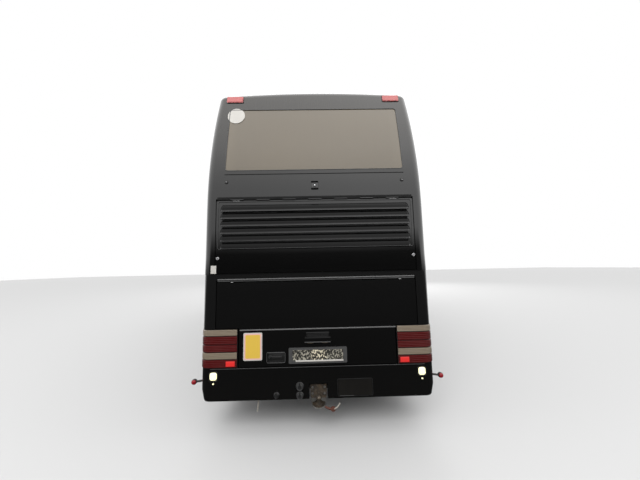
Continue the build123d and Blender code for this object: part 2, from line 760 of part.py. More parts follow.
# Dashboard, with the steering wheel and its column
dash_s, dash_z = length - 770, (820, 1050)
dashboard = deck & box(s=(dash_s, length), z=dash_z)
dashboard += box(x=(driver_x - 300, driver_x + 300), s=(dash_s - 90, dash_s + 100), z=(780, 1120))
write("dashboard", dashboard)
wheel_rake = 35
steering_place = Pos(driver_x, y_at(dash_s) - 290, 1120) * Rot(wheel_rake, 0, 0)
steering = steering_place * Torus(230, 16)
for turn in range(3):
    spoke = Rot(0, 0, 120 * turn + 90) * Pos(115, 0, 0) * Box(230, 30, 14)
    steering += steering_place * spoke
steering += steering_place * Cylinder(55, 50)
column = steering_place * Pos(0, 0, -200) * Cylinder(28, 400)
column -= box(s=(dash_s - 90 - seat_gap, length))
steering += column
write("steering_wheel", steering)

# Underframe: two rails, stepped up over the axles, with cross members
rail_x = (430, 530)
RAILS = ((60, 1750, 450, 650), (1650, 4440, 650, rail_high))
CROSS_MEMBERS = ((70, 190, 450, 650), (380, 460, 450, 510), (1300, 1380, 450, 510),
                 (1660, 1740, 480, 840), (3080, 3160, 680, 820), (4360, 4440, 680, 820))
underframe = None
for side in (-1, 1):
    xs = rail_x if side > 0 else (-rail_x[1], -rail_x[0])
    for s_low, s_high, z_low, z_high in RAILS:
        bar = box(x=xs, s=(s_low, s_high), z=(z_low, z_high))
        underframe = bar if underframe is None else underframe + bar
for s_low, s_high, z_low, z_high in CROSS_MEMBERS:
    underframe += box(x=(-rail_x[1], rail_x[1]), s=(s_low, s_high), z=(z_low, z_high))
outrigger = (engine_wall_s - bulkhead - 60, engine_wall_s - bulkhead)
underframe += deck & box(s=outrigger, z=(560, 640))
jack_pad = 60
for side in (-1, 1):
    pad_x = side * (rail_x[0] + rail_x[1]) / 2
    underframe += box(x=(pad_x - jack_pad, pad_x + jack_pad), s=(1560, 1560 + 2 * jack_pad), z=(425, 451))
write("underframe", underframe)

# Engine, one plain block on its cross members
write("engine_block", box(x=(-395, 395), s=(240, 1480), z=(510 + seat_gap, 1540)))

# Exhaust: silencer under the right rail and two outlets under the bumper
exhaust_z = 480
silencer_x = half_width - 380
silencer = Pos(silencer_x, y_at(1120), exhaust_z) * Rot(90, 0, 0) * Cylinder(105, 900)
exhaust = silencer
for x in (silencer_x - 70, silencer_x + 70):
    exhaust += Pos(x, y_at(430), exhaust_z) * Rot(90, 0, 0) * Cylinder(36, 560)
    outlet = box(x=(x - 50, x + 50), s=(90, 190), z=(352, exhaust_z + 20))
    outlet -= box(x=(x - 44, x + 44), s=(80, 184), z=(340, 372))
    exhaust += outlet
exhaust += box(x=(rail_x[1] + seat_gap, silencer_x - 70), s=(1080, 1140), z=(exhaust_z - 15, exhaust_z + 15))
write("exhaust", exhaust)

# Towing coupling: bracket, flange plate, a shield-shaped jaw under it and a ball on a cast horn
JAW = ((0, 276), (45, 288), (68, 305), (75, 335), (78, 384), (0, 384))
jaw_rim = 9


def shield(rim, s_low, s_high):
    """The jaw's outline, smaller by a rim, as a solid."""
    half = [(x - min(x, rim), z + (rim if z < JAW[-1][1] else 0)) for x, z in JAW]
    return both_sides(prism_y(make_face(Polyline(*half, close=True)), s_low, s_high))


flange = box(x=(-hitch_width / 2, hitch_width / 2), s=(22, 40), z=(JAW[-1][1] - 1, hitch_top))
hitch = flange + shield(0, 6, 40) - shield(jaw_rim, -1, 18)
hitch += box(x=(-60, 60), s=(39, 70 - seat_gap), z=(450, hitch_top))
hitch += box(x=(-60, 60), s=(39, 130), z=(JAW[2][1], 450 - seat_gap))
ball_s, ball_z = -18, 393
horn = box(x=(-28, 28), s=(ball_s - 22, 24), z=(ball_z - 84, ball_z - 50))
neck = Pos(0, y_at(ball_s), ball_z - 40) * Cylinder(15, 70)
hitch += horn + neck + Pos(0, y_at(ball_s), ball_z) * Sphere(ball_radius)
bolt_x, bolt_low, bolt_high = hitch_width / 2 - 20, hitch_top - 85, hitch_top - 24
for x in (-bolt_x, bolt_x):
    for z in (bolt_low, bolt_high):
        hitch += Pos(x, y_at(22), z) * Rot(90, 0, 0) * Cylinder(13, 20)
write("tow_coupling", hitch)

# Mirrors on forward arms
mirror_arm = 20
head_size, head_z = (230, 120, 470), 1830
head_x, head_s = half_width + 80, length + mirror_reach - head_size[1] / 2
MIRROR_PATH = ((half_width - 130, length - 250, 2330), (half_width + 10, head_s, 2330), (head_x, head_s, 2200),
               (head_x, head_s, 1950))
mirrors = []
arm_path = FilletPolyline(*[(x, y_at(s), z) for x, s, z in MIRROR_PATH], radius=60)
arm = sweep(Plane(origin=arm_path @ 0, z_dir=arm_path % 0) * Circle(mirror_arm), path=arm_path)
head = Pos(head_x, y_at(head_s), head_z) * Box(*head_size)
head = fillet(head.edges(), 40)
mirror_solid = (arm + head) - envelope(-seat_gap)
for shape in (mirror_solid, mirror(mirror_solid, about=Plane.YZ)):
    mirrors.append(shape.solids().sort_by(SortBy.VOLUME)[-1])
write("mirrors", Compound(children=mirrors))

# Wipers that lie on the two screens: pivot x, pivot z, length, lean in degrees
WIPERS = ((-560, 1050, 820, 62), (420, 1050, 820, 62), (-100, 2400, 900, 70))
wiper_low, wiper_high, blade_wide, wiper_arm_wide = 1, 16, 22, 28
wiper_layer = envelope(-wiper_high) - envelope(-wiper_low)
wipers = []
for x, z, reach, lean in WIPERS:
    bar = Pos(x, y_at(length), z) * Rot(0, lean, 0) * Pos(0, 0, reach / 2) * Box(wiper_arm_wide, 900, reach)
    turn = Pos(x, y_at(length), z) * Rot(0, lean, 0) * Pos(0, 0, reach * 0.62) * Rot(0, 8, 0)
    blade = turn * Box(blade_wide, 900, reach * 0.75)
    pivot = Pos(x, y_at(length), z) * Box(60, 900, 60)
    wipers.append((wiper_layer & (bar + blade + pivot)).solids()[0])
write("wipers", Compound(children=wipers))


# Passenger doors, each on a post with two arms
def door_pieces(s_rear):
    """Leaf, pane and arm of one door."""
    s_front = s_rear + door_width
    leaf_s = (s_rear + door_edge, s_front - door_edge)
    leaf_z = (door_low, deck_joint_z - panel_gap)
    solid = leaf_skin & box(x=(0, far), s=leaf_s, z=leaf_z)
    pane_s, pane_z = shrink(leaf_s, 90), (760, leaf_z[1] - 142)
    solid -= side_block(1, *pane_s, *pane_z, window_corner)
    pane = glass_skin & side_block(1, *shrink(pane_s, seat_gap), *shrink(pane_z, seat_gap), window_corner)
    post_y = y_at(s_front - arm_post_inset)
    pin_y = post_y - arm_length
    post_low, post_high = floor_top + seat_gap, upper_low_z - seat_gap
    arm = Pos(arm_pin_x, post_y, (post_low + post_high) / 2) * Cylinder(post_radius, post_high - post_low)
    lug_inner = skin_x - leaf
    for z in arm_levels:
        bar = Pos(arm_pin_x, (post_y + pin_y) / 2, z) * Box(arm_thick, arm_length, arm_tall)
        eye = Pos(arm_pin_x, pin_y, z) * Cylinder(post_radius, arm_tall)
        hole = Pos(arm_pin_x, pin_y, z) * Cylinder(eye_pin + bearing_gap, 2 * arm_tall)
        arm += bar + eye - hole
        lug_thick = 8
        for way in (-1, 1):
            lug_z = z + way * (arm_tall / 2 + hinge_clear + lug_thick / 2)
            reach = lug_inner - arm_pin_x + post_radius + 2
            centre_x = lug_inner + 2 - reach / 2
            solid += Pos(centre_x, pin_y, lug_z) * Box(reach, 2 * post_radius, lug_thick)
        pin_tall = arm_tall + 2 * (hinge_clear + lug_thick)
        solid += Pos(arm_pin_x, pin_y, z) * Cylinder(eye_pin, pin_tall)
    for z in arm_levels:
        arm -= Pos(arm_pin_x, pin_y, z) * Cylinder(eye_pin + bearing_gap, 2 * arm_tall)
    return solid, pane, arm


for name, s_rear in DOORS:
    door_leaf, door_pane, door_arm = door_pieces(s_rear)
    write(name, door_leaf)
    write(name + "_glass", door_pane)
    write(name + "_arms", door_arm)


# Wheels, drawn with the axle along X
def turned(points):
    """Solid turned about the X axis from corners in x and radius."""
    return revolve(make_face(Polyline(*points, close=True)), axis=Axis.X)


def rod(radius, x_low, x_high):
    """Cylinder along X between two places."""
    return Pos((x_low + x_high) / 2, 0, 0) * Rot(0, 90, 0) * Cylinder(radius, x_high - x_low)


def tyre():
    """Road tyre round the origin: beads, bulged walls, square shoulders and a slightly crowned tread."""
    bead, bulge, shoulder, tread = rim_width / 2 - 6, tyre_width / 2, 128, 108
    low = rim_radius + seat_gap
    wall_knee = (bulge, rim_radius + 0.45 * (tyre_radius - rim_radius))
    shoulder_low, shoulder_high = (shoulder, tyre_radius - 22), (tread, tyre_radius - 3)
    half = Line((0, low), (bead, low))
    half += ThreePointArc((bead, low), wall_knee, shoulder_low)
    half += ThreePointArc(shoulder_low, (shoulder - 6, tyre_radius - 9), shoulder_high)
    half += ThreePointArc(shoulder_high, (tread / 2, tyre_radius - 0.75), (0, tyre_radius))
    return revolve(make_face(half + mirror(half, about=Plane.YZ)), axis=Axis.X)


barrel_thick, disc_thick = 16, 14
hub_radius, hub_inner_radius = 120, 90
hand_hole, hand_hole_at, hand_holes = 24, 225, 8


def rim(disc_x, cap_reach, bore_reach):
    """Disc wheel round the origin; disc_x is the disc's outer face, the hub reaches out and in from it."""
    edge, inside, face_radius = rim_width / 2, rim_radius - barrel_thick, 185
    cone_x = disc_x - math.copysign(62, disc_x)
    cone_x = max(disc_thick / 2 - edge, min(edge - disc_thick / 2, cone_x))
    solid = turned(((-edge, inside), (edge, inside), (edge, rim_radius), (-edge, rim_radius)))
    solid += turned((
        (disc_x - disc_thick, 0), (disc_x, 0), (disc_x, face_radius), (cone_x + disc_thick / 2, inside + 1),
        (cone_x - disc_thick / 2, inside + 1), (disc_x - disc_thick, face_radius),
    ))
    if cap_reach:
        solid += rod(hub_radius, disc_x - 1, disc_x + cap_reach)
    solid += rod(hub_inner_radius, disc_x - bore_reach, disc_x - 1)
    for n in range(hand_holes):
        place = Rot(360 / hand_holes * n, 0, 0) * Pos(0, 0, hand_hole_at)
        solid -= place * rod(hand_hole, disc_x - 90, disc_x + 90)
    return solid - rod(spindle_radius + bearing_gap, disc_x - bore_reach - 1, disc_x + bore_past)


# Where the discs lie, how far the hubs reach, and how far the bore goes past the disc's outer face
bore_past = 10
single_disc, single_cap, single_bore = 92, 40, 90
outer_disc = -twin_spacing / 2 + disc_thick + seat_gap / 2
inner_disc = twin_spacing / 2 - seat_gap / 2
twin_cap, twin_bore = 130, 90
for name, s, wheel_x, _ in AXLES:
    for side_name, side in (("left", -1), ("right", 1)):
        if name == "drive":
            tyres = [Pos(way * twin_spacing / 2, 0, 0) * tyre() for way in (-1, 1)]
            outer = Pos(twin_spacing / 2, 0, 0) * rim(outer_disc, twin_cap, disc_thick)
            inner = Pos(-twin_spacing / 2, 0, 0) * rim(inner_disc, 0, twin_bore)
            rims = [outer, inner]
        else:
            tyres, rims = [tyre()], [rim(single_disc, single_cap, single_bore)]
        for part, shapes in (("tyre", tyres), ("rim", rims)):
            placed = []
            for shape in shapes:
                shape = shape if side > 0 else mirror(shape, about=Plane.YZ)
                placed += (Pos(side * wheel_x, y_at(s), tyre_radius) * shape).solids()
            write(f"{name}_{side_name}_{part}", Compound(children=placed))

# Fixed axles: a tube with a final drive for the driven one, with saddles up to the rails
spindle_end = bore_past - 4
single_end = single_track / 2 + single_disc
twin_end = twin_track / 2 + twin_spacing / 2 + outer_disc
tube_stop = 12
tag_tube, drive_tube, drive_ball = 62, 88, 205


def saddle(s, half_run, low, high):
    return both_sides(box(x=(rail_x[0] + 10, rail_x[1] - 10), s=(s - half_run, s + half_run), z=(low, high)))


tag = rod(tag_tube, -(single_end - single_bore - tube_stop), single_end - single_bore - tube_stop)
tag += rod(spindle_radius, -(single_end + spindle_end), single_end + spindle_end)
tag = Pos(0, y_at(tag_axle), tyre_radius) * tag
tag += saddle(tag_axle, 60, tyre_radius, RAILS[1][2] - seat_gap)
drive_tube_end = twin_track / 2 - twin_spacing / 2 + inner_disc - twin_bore - tube_stop
ball_meets_tube = math.sqrt(drive_ball**2 - drive_tube**2)
half = Line((0, 0), (0, drive_ball))
half += arc((0, 0), drive_ball, (0, drive_ball), (ball_meets_tube, drive_tube))
half += Polyline((ball_meets_tube, drive_tube), (drive_tube_end, drive_tube), (drive_tube_end, spindle_radius),
                 (twin_end + spindle_end, spindle_radius), (twin_end + spindle_end, 0), (0, 0))
drive = both_sides(revolve(make_face(half), axis=Axis.X))
drive = Pos(0, y_at(drive_axle), tyre_radius) * drive
drive += saddle(drive_axle, 80, tyre_radius, RAILS[1][2] - seat_gap)
write("tag_axle", tag)
write("drive_axle", drive)

# Front axle: a beam dropped under the floor, with an eye for the kingpin and an air spring each side
beam_low, beam_high, beam_half = 175, 285, 52
beam_drop_x, beam_rise_x = 500, 770
eye_radius, eye_half = 45, 60
level = (tyre_radius - 55, tyre_radius + 55)
points = ((-1, beam_low), (beam_drop_x, beam_low), (beam_rise_x, level[0]), (kingpin_x, level[0]),
          (kingpin_x, level[1]), (beam_rise_x - 10, level[1]), (beam_drop_x - 10, beam_high), (-1, beam_high))
front = prism_y(make_face(Polyline(*points, close=True)), front_axle - beam_half, front_axle + beam_half)
front -= box(x=(kingpin_x - eye_radius - steer_clear, far), s=(0, length))
kingpin = (kingpin_x, y_at(front_axle))
front += box(x=(kingpin_x - eye_radius - steer_clear - 1, kingpin_x), s=(front_axle - 34, front_axle + 34),
             z=(tyre_radius - 55, tyre_radius + 55))
front += Pos(*kingpin, tyre_radius) * Cylinder(eye_radius, 2 * eye_half)
front -= Pos(*kingpin, tyre_radius) * Cylinder(kingpin_radius + bearing_gap, 4 * eye_half)
spring_radius, spring_low = 80, 410
front += Pos(spring_x, y_at(front_axle), (spring_low + bracket_low - seat_gap) / 2) * Cylinder(
    spring_radius, bracket_low - seat_gap - spring_low)
write("front_axle", both_sides(front))

# Steering knuckles: two lugs round the kingpin, a back plate and the wheel's spindle
lug_low, lug_high = eye_half + steer_clear, eye_half + steer_clear + 45
plate_in, plate_out = kingpin_x + eye_radius + steer_clear + 2, kingpin_x + eye_radius + 40
knuckle = Pos(*kingpin, tyre_radius) * Cylinder(kingpin_radius, 2 * lug_high)
for way in (-1, 1):
    centre_z = tyre_radius + way * (lug_low + lug_high) / 2
    knuckle += Pos(*kingpin, centre_z) * Cylinder(eye_radius, lug_high - lug_low)
    knuckle += Pos((kingpin_x + plate_out) / 2, kingpin[1], centre_z) * Box(
        plate_out - kingpin_x, 2 * eye_radius, lug_high - lug_low)
knuckle += Pos((plate_in + plate_out) / 2, kingpin[1], tyre_radius) * Box(
    plate_out - plate_in, 2 * eye_radius, 2 * lug_high)
knuckle += Pos(0, kingpin[1], tyre_radius) * rod(spindle_radius, plate_out - 1, single_end + spindle_end)
write("right_knuckle", knuckle)
write("left_knuckle", mirror(knuckle, about=Plane.YZ))
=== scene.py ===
# %% [markdown]
# A touring coach, dressed in Blender around its CAD frame.
# The frame brings the panels, glass, wheels and doors at their real places. This script adds the paint,
# glass and rubber, and the small parts that a solid model leaves out. The first cell loads the frame.

import math

import bmesh
import bpy
from mathutils import Matrix, Vector


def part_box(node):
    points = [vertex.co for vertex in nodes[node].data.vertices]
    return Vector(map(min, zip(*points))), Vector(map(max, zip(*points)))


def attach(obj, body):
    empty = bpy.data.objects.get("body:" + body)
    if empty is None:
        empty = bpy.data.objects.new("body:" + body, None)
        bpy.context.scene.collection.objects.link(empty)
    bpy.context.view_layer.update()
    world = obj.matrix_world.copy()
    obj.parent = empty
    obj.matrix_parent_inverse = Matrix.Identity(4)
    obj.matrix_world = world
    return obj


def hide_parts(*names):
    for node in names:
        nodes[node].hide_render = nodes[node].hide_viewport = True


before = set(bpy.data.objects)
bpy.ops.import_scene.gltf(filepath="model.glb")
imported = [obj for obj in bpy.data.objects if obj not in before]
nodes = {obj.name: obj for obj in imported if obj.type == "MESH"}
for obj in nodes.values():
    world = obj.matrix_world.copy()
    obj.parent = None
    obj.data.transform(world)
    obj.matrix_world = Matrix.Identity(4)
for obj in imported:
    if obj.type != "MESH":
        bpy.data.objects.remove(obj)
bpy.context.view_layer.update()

# %% [markdown]
# Everything is placed by the coach's own sizes, in metres. The distance s runs forwards from the tail, so
# the same numbers that place a door or an axle also place the trim around it.

# %% Sizes
TAIL_Y = -6.0685
LENGTH = 12.0
HALF_WIDTH = 1.25
SKIRT_Z, TUCK_TOP, TUCK = 0.32, 0.48, 0.035
SHOULDER_Z = 2.41
SIDE_RADIUS = 12.5
TAIL_LEAN_Z = 2.56
TAIL_LEAN_RADIUS = 7.0
NOSE_LEAN_Z = 1.0
NOSE_LEAN_RADIUS = 14.0
NOSE_BOW_RADIUS = 5.0
BODY_EDGE = 0.095
AXLES = {"tag": 2.45, "drive": 3.8, "front": 9.3}
TYRE_RADIUS = 0.522
BODY = "coach_body"


def y_at(s):
    return TAIL_Y + s


def tail_y(z, outside=0.0):
    """The tail's outer face at a height, and a distance outside it."""
    if z <= TAIL_LEAN_Z:
        return TAIL_Y - outside
    rise = z - TAIL_LEAN_Z
    return TAIL_Y + TAIL_LEAN_RADIUS - math.sqrt((TAIL_LEAN_RADIUS + outside) ** 2 - rise**2)


def side_x(z, outside=0.0):
    """The side wall's outer face at a height."""
    if z < TUCK_TOP:
        return HALF_WIDTH + outside - TUCK * (TUCK_TOP - z) / (TUCK_TOP - SKIRT_Z)
    if z <= SHOULDER_Z:
        return HALF_WIDTH + outside
    rise = z - SHOULDER_Z
    return HALF_WIDTH - SIDE_RADIUS + math.sqrt((SIDE_RADIUS + outside) ** 2 - rise**2)


print("tail face at 3.6 m is", round(tail_y(3.6) - TAIL_Y, 3), "m forward of the bumper")

# %% [markdown]
# A material is a small formula over the surface: noise for dirt, height for road film, edges for wear.
# Written as plain sums and products it reads better than a long list of nodes and links, so a tiny class
# wraps one socket and turns + - * into Math nodes. Everything else goes through one method, which makes
# a node, sets its options, then fills its inputs.


# %% Shader formulas
class Wire:
    """One output socket, with arithmetic."""

    def __init__(self, shader, socket):
        self.shader, self.socket = shader, socket

    def maths(self, operation, *others, clamp=False):
        settings = {"operation": operation, "use_clamp": clamp}
        return self.shader.node("ShaderNodeMath", settings, dict(enumerate((self, *others))))

    def __add__(self, other):
        return self.maths("ADD", other)

    def __sub__(self, other):
        return self.maths("SUBTRACT", other)

    def __mul__(self, other):
        return self.maths("MULTIPLY", other)

    def __rsub__(self, other):
        return self * -1 + other

    __radd__, __rmul__ = __add__, __mul__

    def above(self, edge, soft):
        """0 under an edge and 1 over it, over a soft width."""
        ends = {"Value": self, "From Min": edge - soft / 2, "From Max": edge + soft / 2}
        return self.shader.node("ShaderNodeMapRange", {"interpolation_type": "SMOOTHSTEP"}, ends)

    def clamped(self):
        return self.maths("ADD", 0.0, clamp=True)


class Shader:
    """The node tree of a material, or of a world."""

    def __init__(self, name, kind="Material"):
        self.owner = (bpy.data.worlds if kind == "World" else bpy.data.materials).new(name)
        self.owner.use_nodes = True
        self.tree = self.owner.node_tree
        self.tree.nodes.clear()
        self.output = self.tree.nodes.new("ShaderNodeOutput" + kind)
        self.coords = self.node("ShaderNodeTexCoord", output="Generated" if kind == "World" else "Object")

    def node(self, kind, settings=None, inputs=None, output=0):
        made = self.tree.nodes.new(kind)
        for key, value in (settings or {}).items():
            setattr(made, key, value)
        for key, value in (inputs or {}).items():
            socket = made.inputs[key]
            if isinstance(value, Wire):
                self.tree.links.new(value.socket, socket)
            elif isinstance(value, tuple) and len(value) < len(socket.default_value):
                socket.default_value = (*value, 1)
            else:
                socket.default_value = value
        return Wire(self, made.outputs[output])

    def axis(self, letter):
        return self.node("ShaderNodeSeparateXYZ", inputs={0: self.coords}, output=letter)

    def noise(self, scale, detail=3.0, roughness=0.5, stretch=None):
        place = self.coords
        if stretch:
            place = self.node("ShaderNodeMapping", inputs={"Vector": place, "Scale": stretch})
        inputs = {"Vector": place, "Scale": scale, "Detail": detail, "Roughness": roughness}
        return self.node("ShaderNodeTexNoise", inputs=inputs)

    def cells(self, scale):
        return self.node("ShaderNodeTexVoronoi", inputs={"Vector": self.coords, "Scale": scale})

    def mix(self, factor, first, second):
        """Mix of two colours."""
        return self.node("ShaderNodeMix", {"data_type": "RGBA"}, {0: factor, 6: first, 7: second}, 2)

    def bump(self, height, strength, distance, under=None):
        inputs = {"Height": height, "Strength": strength, "Distance": distance}
        if under:
            inputs["Normal"] = under
        return self.node("ShaderNodeBump", inputs=inputs)

    def shown(self, made):
        """Links a finished shader to the output."""
        self.tree.links.new(made.socket, self.output.inputs["Surface"])
        return self.owner

    def surface(self, **inputs):
        """The Principled shader: names in plain letters, such as base_color or coat_weight."""
        named = {key.replace("_", " ").title().replace("Ior", "IOR"): value for key, value in inputs.items()}
        return self.shown(self.node("ShaderNodeBsdfPrincipled", inputs=named))


def grey(value):
    return value, value, value


print("shader helpers ready")

# %% [markdown]
# The coach is black all over, so the paint lives on its reflections. Real coachwork isn't a perfect
# mirror: wide panels wave a little, the lacquer has a fine skin like orange peel, rain leaves upright
# streaks, and the road throws a brown-grey film over the lowest metre. Noise at four sizes gives these,
# and a clear coat over a rougher base keeps the reflections sharp where the panel is clean.


# %% Paint
DUST = (0.075, 0.066, 0.055)


def paint(name, colour, film=0.22, film_top=1.1, coat=1.0, wave=0.035, top_dust=0.5, proud_coat=None,
          coat_rough=0.03):
    """Black lacquer. proud_coat dulls what stands out from the tail, such as pressed louvres."""
    s = Shader(name)
    height = s.axis("Z")
    blotch = s.noise(1.1, 5, 0.6)
    streak = s.noise(1.0, 4, 0.65, stretch=(16, 16, 0.7))
    speck = s.noise(95, 2, 0.7)
    low = 1 - height.above(film_top * 0.55, film_top)
    high = height.above(3.15, 1.1) * (blotch * 0.3 + streak * 0.2 + 0.5) * top_dust
    grime = low * film * (blotch * 0.7 + streak * 0.9) + high + streak.above(0.62, 0.3) * 0.06 * film
    grime = grime.clamped()
    spots = s.cells(60).maths("LESS_THAN", 0.09) * blotch.above(0.5, 0.2) * 0.06
    colour = s.mix((grime * 0.8 + spots).clamped(), colour, DUST)
    rough = (grime * 0.4 + blotch * 0.05 + streak * 0.05 + 0.06 + spots).clamped()
    if proud_coat is not None:
        coat = s.axis("Y").maths("LESS_THAN", TAIL_Y - 0.003) * (proud_coat - coat) + coat
    waves = s.bump(s.noise(1.6, 1, stretch=(1, 1, 0.6)), wave, 0.02)
    peel = s.bump(s.noise(260, 1) + speck * 0.3, 0.03, 0.0004, under=waves)
    return s.surface(base_color=colour, roughness=rough, specular_ior_level=0.08, coat_weight=coat,
                     coat_roughness=coat_rough, coat_ior=1.5, normal=peel)


body_paint = paint("body_black", grey(0.004))
lid_paint = paint("lid_black", grey(0.0014), film=0.025, wave=0.04)
bumper_paint = paint("bumper_black", grey(0.003), film=0.035, film_top=0.9, coat=0.75)
roof_paint = paint("roof_black", grey(0.005), film=0.3, film_top=0.2, coat=0.45, top_dust=0.65,
                   coat_rough=0.25)
flap_paint = paint("flap_black", grey(0.0025), film=0.035, wave=0.03, proud_coat=0.04)
print("paints", body_paint.name, lid_paint.name, bumper_paint.name, roof_paint.name)

# %% [markdown]
# Plain finishes share one recipe: a colour broken up by noise, a roughness that follows it, and a fine
# bump for the grain. Metals scratch along one way, plastics are pebbled, rubber is dull and dusty.


# %% Plain finishes
GRAIN_HEIGHT = 0.0006


def finish(name, colour, rough=0.5, vary=0.15, grain=90.0, depth=0.15, metallic=0.0, dust=0.0,
           stretch=None, coat=0.0):
    """A colour that varies by a share, with a grain of some size and depth."""
    s = Shader(name)
    cloud = s.noise(7, 4, 0.6)
    fine = s.noise(grain, 3, 0.6, stretch)
    shade = (cloud - 0.5) * vary * 2 + (fine - 0.5) * vary
    darker = tuple(c * (1 - vary) for c in colour)
    lighter = tuple(min(1.0, c * (1 + vary)) for c in colour)
    tone = s.mix((shade + 0.5).clamped(), darker, lighter)
    if dust:
        tone = s.mix((cloud.above(0.5, 0.5) * dust).clamped(), tone, DUST)
    roughness = ((cloud - 0.5) * 0.25 + (fine - 0.5) * 0.12 + rough + dust * 0.1).clamped()
    return s.surface(base_color=tone, roughness=roughness, metallic=metallic, coat_weight=coat,
                     coat_roughness=0.08, normal=s.bump(fine, depth, GRAIN_HEIGHT))


black_plastic = finish("black_plastic", grey(0.012), 0.42, grain=420, depth=0.25)
gloss_black = finish("gloss_black", grey(0.006), 0.12, vary=0.1, grain=30, depth=0.02, coat=0.5)
soft_rubber = finish("soft_rubber", grey(0.01), 0.62, grain=160, depth=0.2, dust=0.12)
undercoat = finish("undercoat", (0.014, 0.013, 0.012), 0.8, 0.3, 120, 0.5, dust=0.4)
chassis_paint = finish("chassis_paint", grey(0.02), 0.5, 0.3, 70, 0.3, dust=0.45)
cast_metal = finish("cast_metal", (0.06, 0.055, 0.05), 0.65, 0.35, 140, 0.6, metallic=0.6, dust=0.3)
bare_steel = finish("bare_steel", (0.42, 0.42, 0.43), 0.35, 0.15, 60, 0.08, metallic=1.0, stretch=(1, 8, 8))
bright_trim = finish("bright_trim", (0.62, 0.62, 0.6), 0.22, 0.1, 40, 0.03, metallic=1.0, stretch=(0.4, 8, 8))
dull_trim = finish("dull_trim", (0.36, 0.35, 0.33), 0.34, 0.2, 40, 0.05, metallic=0.9, stretch=(0.4, 8, 8))
pipe_steel = finish("pipe_steel", (0.2, 0.17, 0.14), 0.5, 0.4, 50, 0.2, metallic=0.8, dust=0.25)
wheel_paint = finish("wheel_paint", (0.3, 0.3, 0.31), 0.35, 0.2, 40, 0.05, metallic=0.55, dust=0.3)
dash_plastic = finish("dash_plastic", grey(0.045), 0.7, 0.15, 500, 0.35)
wall_trim = finish("wall_trim", (0.26, 0.25, 0.235), 0.8, 0.1, 300, 0.2)
floor_lining = finish("floor_lining", (0.09, 0.085, 0.085), 0.75, 0.35, 200, 0.25, dust=0.1)
white_vinyl = finish("white_vinyl", (0.62, 0.6, 0.56), 0.45, 0.08, 60, 0.03, dust=0.08, coat=0.3)
pale_strap = finish("pale_strap", (0.34, 0.32, 0.28), 0.8, 0.2, 300, 0.3)
print("finishes made:", len(bpy.data.materials))

# %% [markdown]
# The towing plate is bare steel that has rusted. Rust isn't one colour: dark scale underneath, orange
# bloom where water stands, and a little metal still showing. Two noises pick between three colours, and
# the metal share falls where the rust is thick.

# %% Rust
RUST_DARK, RUST_LIGHT, STEEL_WORN = (0.026, 0.021, 0.016), (0.085, 0.055, 0.03), (0.125, 0.105, 0.08)
s = Shader("rusted_steel")
patches, crust = s.noise(26, 6, 0.7), s.noise(190, 4, 0.7)
bloom = (patches.above(0.55, 0.25) * 0.8 + (crust - 0.5) * 0.5).clamped()
worn = s.noise(38, 5, 0.6).above(0.56, 0.12)
colour = s.mix(worn, s.mix(bloom, RUST_DARK, RUST_LIGHT), STEEL_WORN)
rusted_steel = s.surface(base_color=colour, metallic=worn * 0.9, roughness=(0.85 - worn * 0.45).clamped(),
                         normal=s.bump(crust + bloom * 0.6, 0.5, 0.0012))

# %% [markdown]
# Window glass on a coach is dark from outside. A thin see-through black with a clear coat behaves well at
# few samples: it lets the seats show a little, and it reflects the sky. The tall rear window carries a
# brownish film on its inside, so it is nearly opaque and paler than the side windows.


# %% Glass
def window(name, colour, alpha, rough=0.03):
    s = Shader(name)
    smear = s.noise(2.2, 4, 0.6)
    streak = s.noise(1.0, 3, 0.6, stretch=(11, 11, 0.8))
    haze = ((smear - 0.45) * 0.12 + streak.above(0.6, 0.3) * 0.05).clamped()
    tone = s.mix(haze, colour, (0.2, 0.19, 0.175))
    return s.surface(base_color=tone, alpha=(haze * 0.8 + alpha).clamped(),
                     roughness=(haze + rough).clamped(), specular_ior_level=0.9, coat_weight=1.0,
                     coat_roughness=0.02, normal=s.bump(s.noise(1.3, 1), 0.02, 0.01))


side_glass = window("side_glass", grey(0.008), 0.52)
screen_glass = window("screen_glass", (0.02, 0.022, 0.021), 0.3)
FILM = (0.117, 0.094, 0.062)
s = Shader("rear_film_glass")
clouds, threads = s.noise(1.6, 5, 0.6), s.noise(1, 4, 0.7, stretch=(26, 26, 1.2))
edge_side = s.axis("X").maths("ABSOLUTE").above(0.93, 0.1)
shade = ((clouds - 0.5) * 0.5 + (threads - 0.5) * 0.22 + 0.5 + edge_side * 0.25).clamped()
film = s.mix(shade, tuple(c * 0.86 for c in FILM), tuple(c * 1.16 for c in FILM))
rear_glass = s.surface(base_color=film, roughness=(clouds * 0.1 + 0.26).clamped(), coat_weight=0.55,
                       coat_roughness=0.06, normal=s.bump(clouds, 0.04, 0.01))
s = Shader("mirror_glass")
mirror_glass = s.surface(base_color=s.mix(s.noise(3, 3) * 0.2, (0.8, 0.81, 0.82), (0.6, 0.61, 0.62)),
                         metallic=1.0, roughness=0.03)
print("glass", side_glass.name, screen_glass.name, rear_glass.name)

# %% [markdown]
# Lamp lenses are ribbed plastic. The ribs are a wave along the lens, the colour deepens between them as
# painted shade in the grooves, and dust lies on top. A lens that is lit gives off light of its own colour.


# %% Lenses
LENS_BANDS = 170


